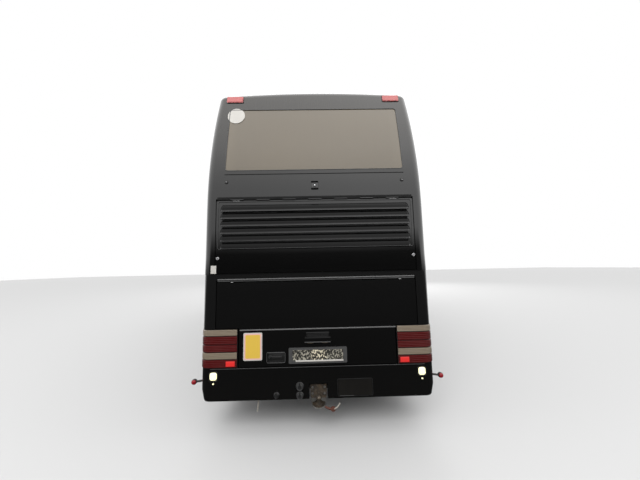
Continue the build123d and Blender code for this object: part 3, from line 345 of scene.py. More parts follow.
def lens(name, colour, deep, ribs=90, glow=0.0, glow_colour=None, across="X", coat=0.35):
    """A ribbed lens: ribs to the metre across, and finer bands up its height."""
    s = Shader(name)
    wave = (s.axis(across) * (ribs * math.tau)).maths("SINE") * 0.5 + 0.5
    band = (s.axis("Z") * (LENS_BANDS * math.tau)).maths("SINE") * 0.5 + 0.5
    cloud = s.noise(9, 4, 0.6)
    # Darker where the ribs and bands dip: painted shade in the grooves. The cloud share is a random tone.
    tone = s.mix((wave * 0.55 + band * 0.2 + cloud * 0.25).clamped(), deep, colour)
    tone = s.mix(cloud.above(0.5, 0.5) * 0.07, tone, DUST)
    lit = {}
    if glow:
        brighter = tuple(min(1, c * 1.1) for c in glow_colour)
        halo = s.mix((wave * 0.3 + cloud * 0.2).clamped(), glow_colour, brighter)
        lit = {"emission_color": halo, "emission_strength": glow}
    return s.surface(base_color=tone, roughness=(cloud * 0.12 + 0.14).clamped(), coat_weight=coat,
                     specular_ior_level=0.15, coat_roughness=0.05,
                     normal=s.bump(wave + band * 0.5, 0.35, 0.0015), **lit)


red_lens = lens("red_lens", (0.115, 0.004, 0.005), (0.045, 0.002, 0.002), coat=0.12)
clear_lens = lens("clear_lens", (0.29, 0.238, 0.175), (0.15, 0.118, 0.082))
lit_red = lens("lit_red", (0.5, 0.02, 0.02), (0.3, 0.01, 0.01), glow=0.4, glow_colour=(1.0, 0.05, 0.045))
marker_lens = lens("marker_lens", (0.62, 0.215, 0.21), (0.5, 0.11, 0.108), ribs=60)
lit_white = lens("lit_white", (0.9, 0.88, 0.8), (0.7, 0.68, 0.6), ribs=45, glow=0.8,
                 glow_colour=(1.0, 0.93, 0.42))
head_lens = lens("head_lens", (0.5, 0.52, 0.54), (0.22, 0.23, 0.24), ribs=28)
amber_lens = lens("amber_lens", (0.75, 0.24, 0.02), (0.4, 0.1, 0.01), ribs=60, across="Y")
ball_red = lens("ball_red", (0.42, 0.02, 0.03), (0.2, 0.01, 0.015), ribs=40)
print("lenses", red_lens.name, clear_lens.name)

# %% [markdown]
# Small parts are built as forms: a form collects boxes with rounded edges, turned shapes, tubes and swept
# sections in one mesh, each with its own material, and is then hung on the body that carries it. One form
# is one part in the finished coach, so a lamp is a single piece with its housing, lens and bezel.


# %% Forms
def frame_of(direction):
    """Two unit vectors across a direction, the second as upright as it can be."""
    along = Vector(direction).normalized()
    hint = Vector((0, 1, 0)) if abs(along.z) > 0.95 else Vector((0, 0, 1))
    side = along.cross(hint).normalized()
    return side, side.cross(along).normalized()


class Form:
    """One piece of the coach, gathered from simple shapes."""

    def __init__(self, name, *materials):
        self.name, self.materials = name, materials
        self.mesh = bmesh.new()

    def take(self, made, material):
        """Adds another mesh's faces with one of the form's materials."""
        bmesh.ops.recalc_face_normals(made, faces=made.faces[:])
        copies = {v: self.mesh.verts.new(v.co) for v in made.verts}
        for face in made.faces:
            self.mesh.faces.new([copies[v] for v in face.verts]).material_index = material
        made.free()

    def box(self, low, high, material=0, bevel=0.0):
        made = bmesh.new()
        bmesh.ops.create_cube(made, size=1)
        for v in made.verts:
            v.co = Vector([lo + (c + 0.5) * (hi - lo) for c, lo, hi in zip(v.co, low, high)])
        if bevel:
            bmesh.ops.bevel(made, geom=made.edges[:], offset=bevel, segments=2, affect="EDGES", profile=0.5)
        self.take(made, material)

    def rings(self, rings, material=0, closed=False):
        """Skin over rings of equally many points; closed joins the last ring to the first."""
        made = bmesh.new()
        rows = [[made.verts.new(p) for p in ring] for ring in rings]
        count = len(rows[0])
        pairs = list(zip(rows, rows[1:])) + ([(rows[-1], rows[0])] if closed else [])
        for first, second in pairs:
            for n in range(count):
                m = (n + 1) % count
                made.faces.new((first[n], first[m], second[m], second[n]))
        if not closed:
            made.faces.new(rows[0][::-1])
            made.faces.new(rows[-1])
        bmesh.ops.remove_doubles(made, verts=made.verts[:], dist=1e-6)
        self.take(made, material)

    def turned(self, profile, centre, axis, material=0, sides=40):
        """Shape turned about an axis, from a closed or open profile of (along, radius) pairs."""
        centre, along = Vector(centre), Vector(axis).normalized()
        u, v = frame_of(along)
        rings = []
        for n in range(sides):
            a = math.tau * n / sides
            out = u * math.cos(a) + v * math.sin(a)
            rings.append([centre + along * x + out * r for x, r in profile])
        self.rings(rings, material, closed=True)

    def swept(self, path, section, material=0, closed=False, outward=None):
        """A section of (outward, up) pairs carried along points."""
        path = [Vector(p) for p in path]
        rings = []
        for n, p in enumerate(path):
            before = path[n - 1] if n or closed else p
            after = path[(n + 1) % len(path)] if n < len(path) - 1 or closed else p
            side, lift = (Vector(outward), Vector((0, 0, 1))) if outward else frame_of(after - before)
            rings.append([p + side * a + lift * b for a, b in section])
        self.rings(rings, material, closed)

    def tube(self, path, radius, material=0, sides=10, closed=False):
        """Round tube along points."""
        self.swept(path, disc(0, 0, radius, sides), material, closed)

    def slab(self, outline, place, low, high, material=0):
        """Plate with an outline of (a, b) pairs; place(a, b, depth) gives its points at two depths."""
        self.rings([[place(a, b, d) for a, b in outline] for d in (low, high)], material)

    def plate(self, x_range, z_range, depths, corner, material=0):
        """Rounded plate that follows the tail. Depths are measured outwards."""
        self.slab(rounded(*x_range, *z_range, corner), on_tail, *depths, material)

    def block(self, x_range, z_range, depths, material=0, bevel=0.0):
        """Box on the upright part of the tail."""
        (x0, x1), (z0, z1), (low, high) = x_range, z_range, depths
        self.box((x0, TAIL_Y - high, z0), (x1, TAIL_Y - low, z1), material, bevel)

    def stud(self, profile, x, z, material=0, sides=24):
        """Turned part that stands out from the tail."""
        self.turned(profile, (x, TAIL_Y, z), (0, -1, 0), material, sides)

    def done(self, body=BODY, slot="trim_plastic", replaces=(), sharp=32):
        """Makes the object, smooths it up to an angle, and hangs it on a body."""
        limit = math.radians(sharp)
        self.mesh.normal_update()
        for face in self.mesh.faces:
            face.smooth = True
        for edge in self.mesh.edges:
            edge.smooth = len(edge.link_faces) == 2 and edge.calc_face_angle(0) < limit
        made = self.loose()
        for material in self.materials:
            made.data.materials.append(material)
        bpy.context.scene.collection.objects.link(made)
        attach(made, body)
        if replaces:
            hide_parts(*replaces)
        print("piece", self.name, len(made.data.polygons), "faces on", body)
        return made

    def loose(self, ending=""):
        """The form's mesh as an object that isn't in the scene yet."""
        data = bpy.data.meshes.new(self.name + ending)
        self.mesh.to_mesh(data)
        self.mesh.free()
        return bpy.data.objects.new(self.name + ending, data)


def disc(a, b, radius, steps=32, start=0):
    """Points round a circle, from a start angle in degrees."""
    angles = [math.radians(start) + math.tau * n / steps for n in range(steps)]
    return [(a + radius * math.cos(t), b + radius * math.sin(t)) for t in angles]


def rounded(a0, a1, b0, b1, radius, steps=4):
    """Outline of a rectangle with rounded corners."""
    points = []
    corners = ((a1 - radius, b0 + radius, -90), (a1 - radius, b1 - radius, 0),
               (a0 + radius, b1 - radius, 90), (a0 + radius, b0 + radius, 180))
    for a, b, start in corners:
        for n in range(steps + 1):
            t = math.radians(start + 90 * n / steps)
            points.append((a + radius * math.cos(t), b + radius * math.sin(t)))
    return points


def grid_outline(outline, pieces):
    """The same outline with every run divided, so that it can follow a curved wall."""
    points = []
    for n, (a, b) in enumerate(outline):
        c, d = outline[(n + 1) % len(outline)]
        parts = max(1, int(math.hypot(c - a, d - b) / pieces))
        points += [(a + (c - a) * k / parts, b + (d - b) * k / parts) for k in range(parts)]
    return points


def on_tail(x, z, depth):
    """A point of the tail: depth is measured outwards."""
    return x, tail_y(z, depth), z


def on_side(side):
    """A function that gives a point of one side wall from s, height and depth."""
    return lambda s, z, depth: (side * side_x(z, depth), y_at(s), z)


SIDES = (("left", -1), ("right", 1))
print("form helpers ready")

# %% [markdown]
# The frame's own solids are already the right shape for the panels, so they stay and only change their
# material. This table is the coach's paint shop list.

# %% Dress the frame's nodes
DRESS = {
    body_paint: ("left_lower_wall", "right_lower_wall", "left_upper_wall", "right_upper_wall", "front_frame",
                 "rear_frame", "left_flap", "right_flap", "front_door", "middle_door"),
    lid_paint: ("engine_lid",),
    flap_paint: ("grille_flap",),
    bumper_paint: ("rear_bumper", "front_bumper"),
    roof_paint: ("roof",),
    black_plastic: ("roof_hatches", "wipers", "mirrors", "steering_wheel"),
    side_glass: ("side_windows", "front_door_glass", "middle_door_glass"),
    screen_glass: ("windscreens",),
    rear_glass: ("rear_window",),
    head_lens: ("front_lamps",),
    red_lens: ("rear_lamps",),
    floor_lining: ("lower_floor", "upper_floor", "stairs"),
    wall_trim: ("bulkheads",),
    undercoat: ("wheel_tunnels",),
    dash_plastic: ("dashboard",),
    chassis_paint: ("underframe",),
    cast_metal: ("engine_block", "tag_axle", "drive_axle", "front_axle", "left_knuckle", "right_knuckle"),
    pipe_steel: ("exhaust",),
    rusted_steel: ("tow_coupling",),
    bare_steel: ("front_door_arms", "middle_door_arms"),
}


def dress(node, material):
    data = nodes[node].data
    data.materials.clear()
    data.materials.append(material)


for material, names in DRESS.items():
    for name in names:
        dress(name, material)
print("dressed", sum(len(names) for names in DRESS.values()), "nodes")

# %% [markdown]
# The camera stands close behind the coach with a very wide lens, at a person's eye level, looking slightly
# up and tilted about one degree. These are the values that line the rear window, the lamps and the bumper
# up with the photograph.

# %% Camera
CAMERA = Vector((0.0, TAIL_Y - 2.834, 1.75))
CAMERA_YAW, CAMERA_PITCH, CAMERA_ROLL = -0.963, 6.043, -1.193
CAMERA_LENS, SENSOR = 14.34, 36.0

camera_data = bpy.data.cameras.new("camera")
camera_data.lens, camera_data.sensor_width = CAMERA_LENS, SENSOR
camera_data.clip_start, camera_data.clip_end = 0.05, 200
camera = bpy.data.objects.new("camera", camera_data)
bpy.context.scene.collection.objects.link(camera)
turns = ((CAMERA_YAW, "Z"), (90 + CAMERA_PITCH, "X"), (CAMERA_ROLL, "Z"))
placed = Matrix.Translation(CAMERA)
for angle, about in turns:
    placed = placed @ Matrix.Rotation(math.radians(angle), 4, about)
camera.matrix_world = placed
bpy.context.scene.camera = camera
print("camera at", [round(v, 3) for v in CAMERA])

# %% [markdown]
# A pale floor and soft light from all round, as under an even grey sky. The camera sees the floor pale, but
# other rays find it nearly black for a few metres behind the tail: a painted dark reflection in the bumper
# and lower tail, which also darkens the light bounced under it. The glossy rays see a sky that is dark near
# the ground and bright overhead, so the leaning upper half of the tail turns grey while the upright lower
# half stays nearly black. The lamps are left out of reflections, because a lamp's square edge would show in
# the glass. The camera and the glass see a white room.

# %% Floor, lights and world
FLOOR_SIZE = 160.0
ROOM_LIGHT, ROOM_WHITE = 1.0, 1.0
FLOOR_SEEN, FLOOR_PAINTED_DARK_NEAR_TAIL, FLOOR_MIRRORED = 0.66, 0.02, 0.75
# The mirrored sky: (height of the ray from 0 straight down to 1 straight up, brightness)
SKY_STEPS = ((0.0, 0.03), (0.50, 0.03), (0.528, 0.05), (0.546, 0.55), (0.57, 1.5), (0.66, 1.75),
             (0.80, 2.45), (1.0, 2.6))
SKY_TOP = SKY_STEPS[-1][1]
SIDE_LIFT = 0.05

floor_mesh = bmesh.new()
bmesh.ops.create_grid(floor_mesh, x_segments=1, y_segments=1, size=FLOOR_SIZE / 2)
floor_data = bpy.data.meshes.new("floor")
floor_mesh.to_mesh(floor_data)
floor_mesh.free()
floor = bpy.data.objects.new("floor", floor_data)
bpy.context.scene.collection.objects.link(floor)
s = Shader("floor_paint")
seen = s.node("ShaderNodeLightPath", output="Is Camera Ray")
# Rays other than the camera's see the floor nearly black near the tail: a painted dark reflection.
mirrored = s.mix(s.axis("Y").above(TAIL_Y + 3.0, 5.0), grey(FLOOR_PAINTED_DARK_NEAR_TAIL), grey(FLOOR_MIRRORED))
floor_data.materials.append(s.surface(base_color=s.mix(seen, mirrored, grey(FLOOR_SEEN)), roughness=0.9,
                                      specular_ior_level=0.2))


def area_light(name, place, aim, size=(9.0, 6.0), power=850):
    data = bpy.data.lights.new(name, "AREA")
    data.shape, data.energy = "RECTANGLE", power
    data.size, data.size_y = size
    lamp = bpy.data.objects.new(name, data)
    bpy.context.scene.collection.objects.link(lamp)
    way = (Vector(aim) - Vector(place)).to_track_quat("-Z", "Y")
    lamp.matrix_world = Matrix.Translation(place) @ way.to_matrix().to_4x4()
    lamp.visible_glossy = False


area_light("key_light", (-2.0, TAIL_Y - 9.0, 9.0), (0, TAIL_Y, 2.0))
area_light("front_light", (4.0, TAIL_Y + 22.0, 9.0), (0, TAIL_Y + 10, 2.0))

s = Shader("room", "World")
camera_ray, glossy_ray, glass_ray = (s.node("ShaderNodeLightPath", output=f"Is {kind} Ray")
                                     for kind in ("Camera", "Glossy", "Transmission"))
level = s.axis("Z") * 0.5 + 0.5 + s.axis("Y").above(-0.75, 0.3) * SIDE_LIFT
sky = s.node("ShaderNodeValToRGB", inputs={"Fac": level})
stops = sky.socket.node.color_ramp.elements
while len(stops) < len(SKY_STEPS):
    stops.new(0.5)
for stop, (place, strength) in zip(stops, SKY_STEPS):
    stop.position, stop.color = place, (*grey(strength / SKY_TOP), 1)
side_light = (s.axis("X").above(0.0, 0.7) * 0.25 + 0.9) * SKY_TOP


def background(colour, strength):
    return s.node("ShaderNodeBackground", inputs={"Color": colour, "Strength": strength})


def chosen(factor, when_off, when_on):
    return s.node("ShaderNodeMixShader", inputs={0: factor, 1: when_off, 2: when_on})


lit = chosen(glossy_ray, background(grey(1), ROOM_LIGHT), background(sky, side_light))
seen = camera_ray.maths("MAXIMUM", glass_ray)
bpy.context.scene.world = s.shown(chosen(seen, lit, background(grey(1), ROOM_WHITE)))
bpy.context.scene.view_settings.view_transform = "Standard"
print("floor, two soft lights and the room are set")

# %% [markdown]
# The tail lamps are tall stacks that wrap round the coach's corners: a clear row on top, two red rows, then
# a clear and a red row below. Each row is one ribbed lens in a black housing, and the corner part follows
# the rounding of the body.

# %% Tail lamp stacks
LAMP_IN = 0.858
# low, high, material
LAMP_ROWS = ((1.036, 1.100, 1), (0.948, 1.031, 2), (0.870, 0.943, 2), (0.797, 0.865, 1), (0.711, 0.792, 2))
CORNER = HALF_WIDTH - BODY_EDGE


def plan(side, start, stop, outside, steps=10):
    """Points of the coach's outline seen from above, from x = start on the tail round to s = stop."""
    radius = BODY_EDGE + outside
    points = [(side * (start + (CORNER - start) * n / 3), TAIL_Y - outside) for n in range(3)]
    for n in range(steps + 1):
        a = math.pi / 2 * n / steps
        points.append((side * (CORNER + radius * math.sin(a)), TAIL_Y + BODY_EDGE - radius * math.cos(a)))
    points.append((side * (HALF_WIDTH + outside), TAIL_Y + stop))
    return points


def wrapped(form, side, levels, material, start=LAMP_IN, stop=0.21):
    """A skin round the coach's corner from a profile of (z, outside) pairs."""
    rows = [[(x, y, z) for x, y in plan(side, start, stop, out)] for z, out in levels]
    form.rings([[row[m] for row in rows] for m in range(len(rows[0]))], material)


def lens_profile(low, high, ribs=4, depth=0.006):
    """Section of a ribbed lens: rounded edges and shallow waves."""
    levels = [(low, -0.02), (low, 0.0), (low + 0.004, depth)]
    step = (high - low - 0.008) / ribs
    for n in range(ribs):
        a = low + 0.004 + step * n
        levels += [(a + step * 0.12, depth), (a + step * 0.5, depth + 0.0022), (a + step * 0.88, depth)]
    return levels + [(high - 0.004, depth), (high, 0.0), (high, -0.02)]


def mirrored_range(side, low, high):
    """The same range of x on one side of the coach, in rising order."""
    return sorted((side * low, side * high))


HOUSING = ((0.709, -0.03), (0.709, 0.001), (1.102, 0.001), (1.102, -0.03))
for name, side in SIDES:
    lamp = Form(name + "_tail_lamp", black_plastic, clear_lens, red_lens, lit_red)
    wrapped(lamp, side, HOUSING, 0, LAMP_IN - 0.002, 0.214)
    for low, high, kind in LAMP_ROWS:
        wrapped(lamp, side, lens_profile(low, high), kind, LAMP_IN + 0.003, 0.208)
    lamp.block(mirrored_range(side, 0.880, 0.975), (0.724, 0.778), (0.004, 0.0105), 3, 0.004)
    lamp.done(BODY, "lamp_red", ["rear_lamps"])
print("tail lamp stacks done")

# %% [markdown]
# Two pale red marker lamps sit just under the roof's edge, two lit reversing lamps are let into the bumper,
# and a marker lamp stands out on a rubber stalk at each lower corner, so that the driver sees where the
# coach ends.

# %% Marker, bumper and stalk lamps
MARKER_X, MARKER_LOW, MARKER_TOP = (0.848, 1.057), 3.759, 3.855
# a lamp's or a card's layers: inset, depths, material
MARKER_LAYERS = ((0.0, (-0.03, 0.003), 1), (0.006, (0.0, 0.010), 0), (0.014, (0.0, 0.014), 0))
REVERSE_X = 1.104
STALK_X, STALK_Y, STALK_Z = 1.388, y_at(0.19), 0.503
STALK_PATH = ((1.246, 0.012), (1.29, 0.012), (1.33, 0.007), (1.37, 0))
STALK_HEAD = ((-0.014, 0), (-0.014, 0.026), (-0.009, 0.029), (0.009, 0.029), (0.014, 0.026), (0.014, 0))
STALK_LENS = ((0.013, 0), (0.013, 0.026), (0.021, 0.024), (0.028, 0.015), (0.032, 0))

for name, side in SIDES:
    marker = Form(name + "_roof_marker", marker_lens, black_plastic)
    x_low, x_high = mirrored_range(side, *MARKER_X)
    for inset, depths, material in MARKER_LAYERS:
        marker.plate((x_low + inset, x_high - inset), (MARKER_LOW + inset, MARKER_TOP - inset), depths,
                     0.012, material)
    marker.done(BODY, "lamp_red", ["rear_lamps"])

    lamp = Form(name + "_reversing_lamp", black_plastic, lit_white, clear_lens, red_lens)
    x = side * REVERSE_X
    lamp.plate((x - 0.048, x + 0.048), (0.576, 0.676), (-0.03, 0.003), 0.02)
    for inset, out in ((0.0, 0.006), (0.006, 0.010), (0.014, 0.012)):
        lamp.plate((x - 0.037 + inset, x + 0.037 - inset), (0.589 + inset, 0.667 - inset), (-0.004, out),
                   0.022 - inset, 1)
    # The small reflector under the lamp takes the glowing lit_white: a painted glow, since a reflector gives
    # no light.
    lamp.plate((x - 0.009, x + 0.009), (0.546, 0.560), (-0.002, 0.006), 0.006, 1)
    lamp.done(BODY, "lamp_red", ["rear_lamps"])

    stalk = Form(name + "_stalk_lamp", soft_rubber, ball_red, clear_lens)
    stalk.tube([(side * out, STALK_Y, STALK_Z + up) for out, up in STALK_PATH], 0.011)
    x_low, x_high = mirrored_range(side, 1.249, 1.256)
    stalk.box((x_low, STALK_Y - 0.03, STALK_Z - 0.02), (x_high, STALK_Y + 0.03, STALK_Z + 0.045), 0, 0.003)
    head = (side * STALK_X, STALK_Y, STALK_Z)
    stalk.turned(STALK_HEAD, head, (0, -1, 0), 0, 28)
    for way, material in ((-1, 1), (1, 2)):
        stalk.turned(STALK_LENS, head, (0, way, 0), material, 28)
    stalk.done(BODY, "lamp_red", ["rear_lamps"])

# %% [markdown]
# Grey strips run along the head of the engine lid and above the number plate. The locks, rubber stops,
# rear camera, a plain white disc on the window and a plain sticker are small, but the eye finds them
# missing at once.

# %% Strips and small fittings on the tail
LID, FLAP = "engine_lid_body", "grille_flap_body"
joint_black = finish("joint_black", grey(0.003), 0.9, grain=200, depth=0.1)
trim_grey = finish("trim_grey", grey(0.06), 0.5, grain=90, depth=0.1)
strip_grey = finish("strip_grey", grey(0.12), 0.45, grain=90, depth=0.1)
STRIP_SECTION = ((-0.002, -1), (0.003, -1), (0.005, -0.6), (0.005, 0.6), (0.003, 1), (-0.002, 1))
STRIP_STEPS, STRIP_END = 12, 0.003


def tail_strip(name, x_low, x_high, z, half, body, material):
    """A moulding with a rounded face and rounded ends, along the tail."""
    places = [x_low + (x_high - x_low) * n / STRIP_STEPS for n in range(1, STRIP_STEPS)]
    places = [x_low, x_low + STRIP_END, *places, x_high - STRIP_END, x_high]
    rings = []
    for x in places:
        small = 0.6 if x in (x_low, x_high) else 1.0
        rings.append([(x, tail_y(z, out * small), z + up * half * small) for out, up in STRIP_SECTION])
    strip = Form(name, material)
    strip.rings(rings)
    strip.done(body)


tail_strip("lid_head_strip", -1.083, 1.083, 1.632, 0.0065, BODY, strip_grey)
tail_strip("plate_head_strip", -0.833, 0.848, 1.091, 0.0065, LID, strip_grey)
# A thin grey bead along the bumper's top edge: a painted highlight.
tail_strip("bumper_top_bead", -1.14, 1.14, 0.699, 0.0022, BODY, trim_grey)
tail_strip("rear_panel_seam", -1.03, 1.03, 2.822, 0.0035, BODY, joint_black)
tail_strip("flap_hinge_cover", -1.105, 1.105, 2.541, 0.015, BODY, joint_black)

LOCK = ((0, 0), (0, 0.017), (0.003, 0.017), (0.005, 0.014), (0.005, 0.009), (0.003, 0.008), (0.003, 0))
STOP = ((-0.002, 0), (-0.002, 0.022), (0.006, 0.020), (0.010, 0.012), (0.010, 0))
STOP_SCREW = ((0.010, 0), (0.010, 0.005), (0.012, 0.004), (0.012, 0))
EYE_RING = ((0.028, 0), (0.028, 0.018), (0.036, 0.017), (0.036, 0.012), (0.033, 0.010), (0.033, 0))
EYE_GLASS = ((0.032, 0), (0.032, 0.0095), (0.034, 0.007), (0.0352, 0))
LOCK_Z, STOP_Z, EYE_Z = 1.864, 2.732, 2.672

locks = Form("flap_locks", bare_steel, black_plastic)
for x in (-1.087, 1.087):
    locks.stud(LOCK, x, LOCK_Z, 0, 28)
    locks.block((x - 0.002, x + 0.002), (LOCK_Z - 0.006, LOCK_Z + 0.006), (0.0028, 0.0045), 1)
locks.done(FLAP, "bare_steel")

stops = Form("rear_stops", soft_rubber, bare_steel)
for x in (-1.005, 1.005):
    for profile, material, sides in ((STOP, 0, 24), (STOP_SCREW, 1, 16)):
        stops.turned(profile, on_tail(x, STOP_Z, 0.0), (0, -1, 0), material, sides)
stops.done()

rear_camera = Form("rear_camera", black_plastic, gloss_black, mirror_glass)
rear_camera.plate((-0.043, 0.043), (2.638, 2.724), (-0.003, 0.026), 0.010)
rear_camera.plate((-0.036, 0.036), (2.645, 2.700), (0.024, 0.031), 0.008, 1)
rear_camera.block((-0.040, 0.040), (2.712, 2.724), (-0.010, 0.046), 0, 0.004)
rear_camera.stud(EYE_RING, 0, EYE_Z, 0, 28)
rear_camera.stud(EYE_GLASS, 0, EYE_Z, 2, 24)
rear_camera.done()

DISC_X, DISC_Z, DISC_RADIUS = -0.926, 3.577, 0.102
vinyl = Form("white_disc", white_vinyl)
vinyl.slab(disc(DISC_X, DISC_Z, DISC_RADIUS, 48), on_tail, -0.0045, 0.0015)
vinyl.done(BODY, "hatch_white")

label = Form("plain_sticker", white_vinyl, black_plastic)
label.plate((-1.159, -1.099), (1.700, 1.787), (0.0, 0.0008), 0.004)
label.done()
print("small fittings done")

# %% [markdown]
# On the engine lid: the blank number plate in its holder, the lamp housing that doubles as a grip above it,
# the latch in its pocket, and a plain yellow card with a pale border. Nothing on them is lettered.

# %% Engine lid fittings
card_yellow = finish("card_yellow", (0.77, 0.52, 0.075), 0.5, 0.06, 60, 0.02)
card_border = finish("card_border", (0.85, 0.5, 0.46), 0.5, 0.05, 60, 0.02)
s = Shader("plate_paint")
mottle = s.noise(64, 4, 0.6, stretch=(1, 1, 0.8)).above(0.54, 0.06)
middle = (0.09 - s.axis("X")).above(0.0, 0.04) * (s.axis("X") + 0.07).above(0.0, 0.04)
pale = s.mix(middle, (0.4, 0.38, 0.31), (0.8, 0.73, 0.55))
plate_paint = s.surface(base_color=s.mix(mottle, (0.022, 0.021, 0.017), pale), roughness=0.45,
                        normal=s.bump(mottle, 0.1, 0.0006))

holder = Form("number_plate_holder", trim_grey, plate_paint, white_vinyl, bare_steel)
holder.plate((-0.310, 0.310), (0.738, 0.900), (0.004, 0.0125), 0.012)
holder.plate((-0.268, 0.268), (0.770, 0.876), (0.012, 0.0145), 0.008, 1)
plate_edge = [(x, TAIL_Y - 0.0142, z) for x, z in rounded(-0.272, 0.272, 0.762, 0.880, 0.011)]
holder.tube(plate_edge, 0.0035, 0, 8, closed=True)
holder.block((-0.236, 0.270), (0.757, 0.773), (0.012, 0.0185), 2, 0.002)
for x in (-0.19, 0.19):
    holder.stud(((0.0144, 0), (0.0144, 0.006), (0.0165, 0.005), (0.0172, 0)), x, 0.856, 3, 18)
holder.done(LID)

grip = Form("plate_lamp_grip", lid_paint, trim_grey, clear_lens)
for z_range, half, out in (((1.002, 1.050), 0.129, 0.024), ((0.958, 1.002), 0.141, 0.038)):
    grip.plate((-half, half), z_range, (-0.002, out), 0.010)
for n in range(3):
    z = 1.010 + n * 0.013
    grip.block((-0.118, 0.118), (z, z + 0.006), (0.022, 0.0285), 0, 0.002)
grip.block((-0.138, 0.138), (0.956, 0.966), (0.034, 0.041), 1, 0.002)
for x in (-0.075, 0.075):
    grip.block((x - 0.032, x + 0.032), (0.950, 0.960), (0.016, 0.036), 2, 0.003)
grip.done(LID)

latch = Form("lid_latch", black_plastic, trim_grey, bare_steel)
pocket = [(x, TAIL_Y - 0.0015, z) for x, z in rounded(-0.543, -0.349, 0.749, 0.855, 0.014)]
latch.tube(pocket, 0.003, 1, 8, closed=True)
for x_range, z_range, depths, material, bevel in (
    # the pocket's floor, the handle, its root, and the lip over the pocket
    ((-0.536, -0.356), (0.756, 0.848), (-0.0245, -0.0215), 0, 0.001),
    ((-0.520, -0.385), (0.788, 0.818), (-0.012, -0.002), 0, 0.004),
    ((-0.526, -0.498), (0.780, 0.826), (-0.022, -0.004), 0, 0.005),
    ((-0.541, -0.351), (0.850, 0.858), (0.001, 0.006), 1, 0.002),
):
    latch.block(x_range, z_range, depths, material, bevel)
latch.stud(((-0.012, 0), (-0.012, 0.011), (-0.002, 0.010), (-0.002, 0)), -0.512, 0.803, 2, 20)
latch.done(LID)

CARD_LAYERS = ((0.0, (0.0, 0.0015), 2), (0.010, (0.001, 0.0022), 0), (0.022, (0.002, 0.0028), 1))
card = Form("plain_card", card_border, card_yellow, white_vinyl)
for inset, depths, material in CARD_LAYERS:
    card.plate((-0.793 + inset, -0.593 - inset), (0.777 + inset, 1.063 - inset), depths, 0.012, material)
card.done(LID, "lamp_clear")
print("engine lid fittings done")

# %% [markdown]
# The bumper has a towing hatch whose lighter face is a painted reflection and whose pale line at the foot is
# a painted highlight, three round trailer sockets, and the rusty coupling with its bolts, jaw and ball. A
# strap end hangs under it, and the exhaust tips point down.

# %% Bumper fittings
hatch = Form("bumper_hatch", joint_black, body_paint, trim_grey)
joint = [(x, TAIL_Y - 0.0006, z) for x, z in rounded(0.203, 0.573, 0.397, 0.569, 0.016)]
hatch.tube(joint, 0.0028, 0, 8, closed=True)
# The face takes the dustier body paint rather than the bumper's, so that it reads lighter: a painted
# reflection.
hatch.plate((0.210, 0.566), (0.404, 0.562), (-0.001, 0.0022), 0.012, 1)
# A pale grey strip along part of the foot: a painted highlight.
hatch.block((0.223, 0.373), (0.399, 0.403), (0.001, 0.0042), 2, 0.001)
hatch.done(BODY, "bumper_black")

# x, z, size against the large one, material of the lip
SOCKETS = ((-0.197, 0.505, 1.0, 1), (-0.197, 0.413, 0.95, 1), (-0.442, 0.423, 0.72, 0))
SOCKET_SHELL = ((0.0, 0.0), (0.0, 0.044), (0.004, 0.044), (0.008, 0.038), (0.020, 0.036), (0.026, 0.031),
                (0.026, 0.0))
SOCKET_LIP = ((0.024, 0.024), (0.026, 0.030), (0.029, 0.030), (0.030, 0.026), (0.028, 0.022))
SOCKET_CAP = ((0.025, 0.0), (0.025, 0.020), (0.032, 0.019), (0.033, 0.0))
SCREW, SCREW_CIRCLE = ((0.003, 0), (0.003, 0.0035), (0.0065, 0.003), (0.0065, 0)), 0.0395
sockets = Form("trailer_sockets", black_plastic, trim_grey, black_plastic)
for x, z, size, lip in SOCKETS:
    for profile, material, sides in ((SOCKET_SHELL, 0, 36), (SOCKET_LIP, lip, 36), (SOCKET_CAP, 0, 28)):
        sockets.stud([(out, r * size) for out, r in profile], x, z, material, sides)
    sockets.block((x - 0.008, x + 0.008), (z + 0.022 * size, z + 0.046 * size), (0.008, 0.036), 2, 0.003)
    for screw_x, screw_z in disc(x, z, SCREW_CIRCLE * size, 4, 45):
        sockets.stud(SCREW, screw_x, screw_z, 1, 10)
sockets.done()

WASHER = ((-0.032, 0), (-0.032, 0.019), (-0.0295, 0.019), (-0.0285, 0.017), (-0.0285, 0))
BALL = [(0.0265 * math.cos(math.pi * k / 16), 0.0265 * math.sin(math.pi * k / 16)) for k in range(17)]
SHIELD = ((0.078, 0.382), (0.075, 0.335), (0.068, 0.305), (0.045, 0.288), (0, 0.277), (-0.045, 0.288),
          (-0.068, 0.305), (-0.075, 0.335), (-0.078, 0.382))
JAW = ((0.076, 0.384), (0.030, 0.384), (0.022, 0.368), (0.046, 0.352), (0.073, 0.348))
coupling = Form("coupling_fittings", rusted_steel, bare_steel, dull_trim)
for x in (-0.064, 0.064):
    for z in (0.427, 0.488):
        coupling.stud(WASHER, x, z)
        coupling.slab(disc(x, z, 0.0125, 6, 15), on_tail, -0.029, -0.008, 2)
coupling.turned(BALL, (0, y_at(-0.018), 0.393), (0, 0, 1), 0, 32)
coupling.tube([(x * 0.96, y_at(0.006), z) for x, z in SHIELD], 0.006, 2, 10)
for side in (-1, 1):
    coupling.slab([(side * x, z) for x, z in JAW[::-side]], on_tail, 0.001, -0.012, 2)
coupling.done(BODY, "coupling_brown")

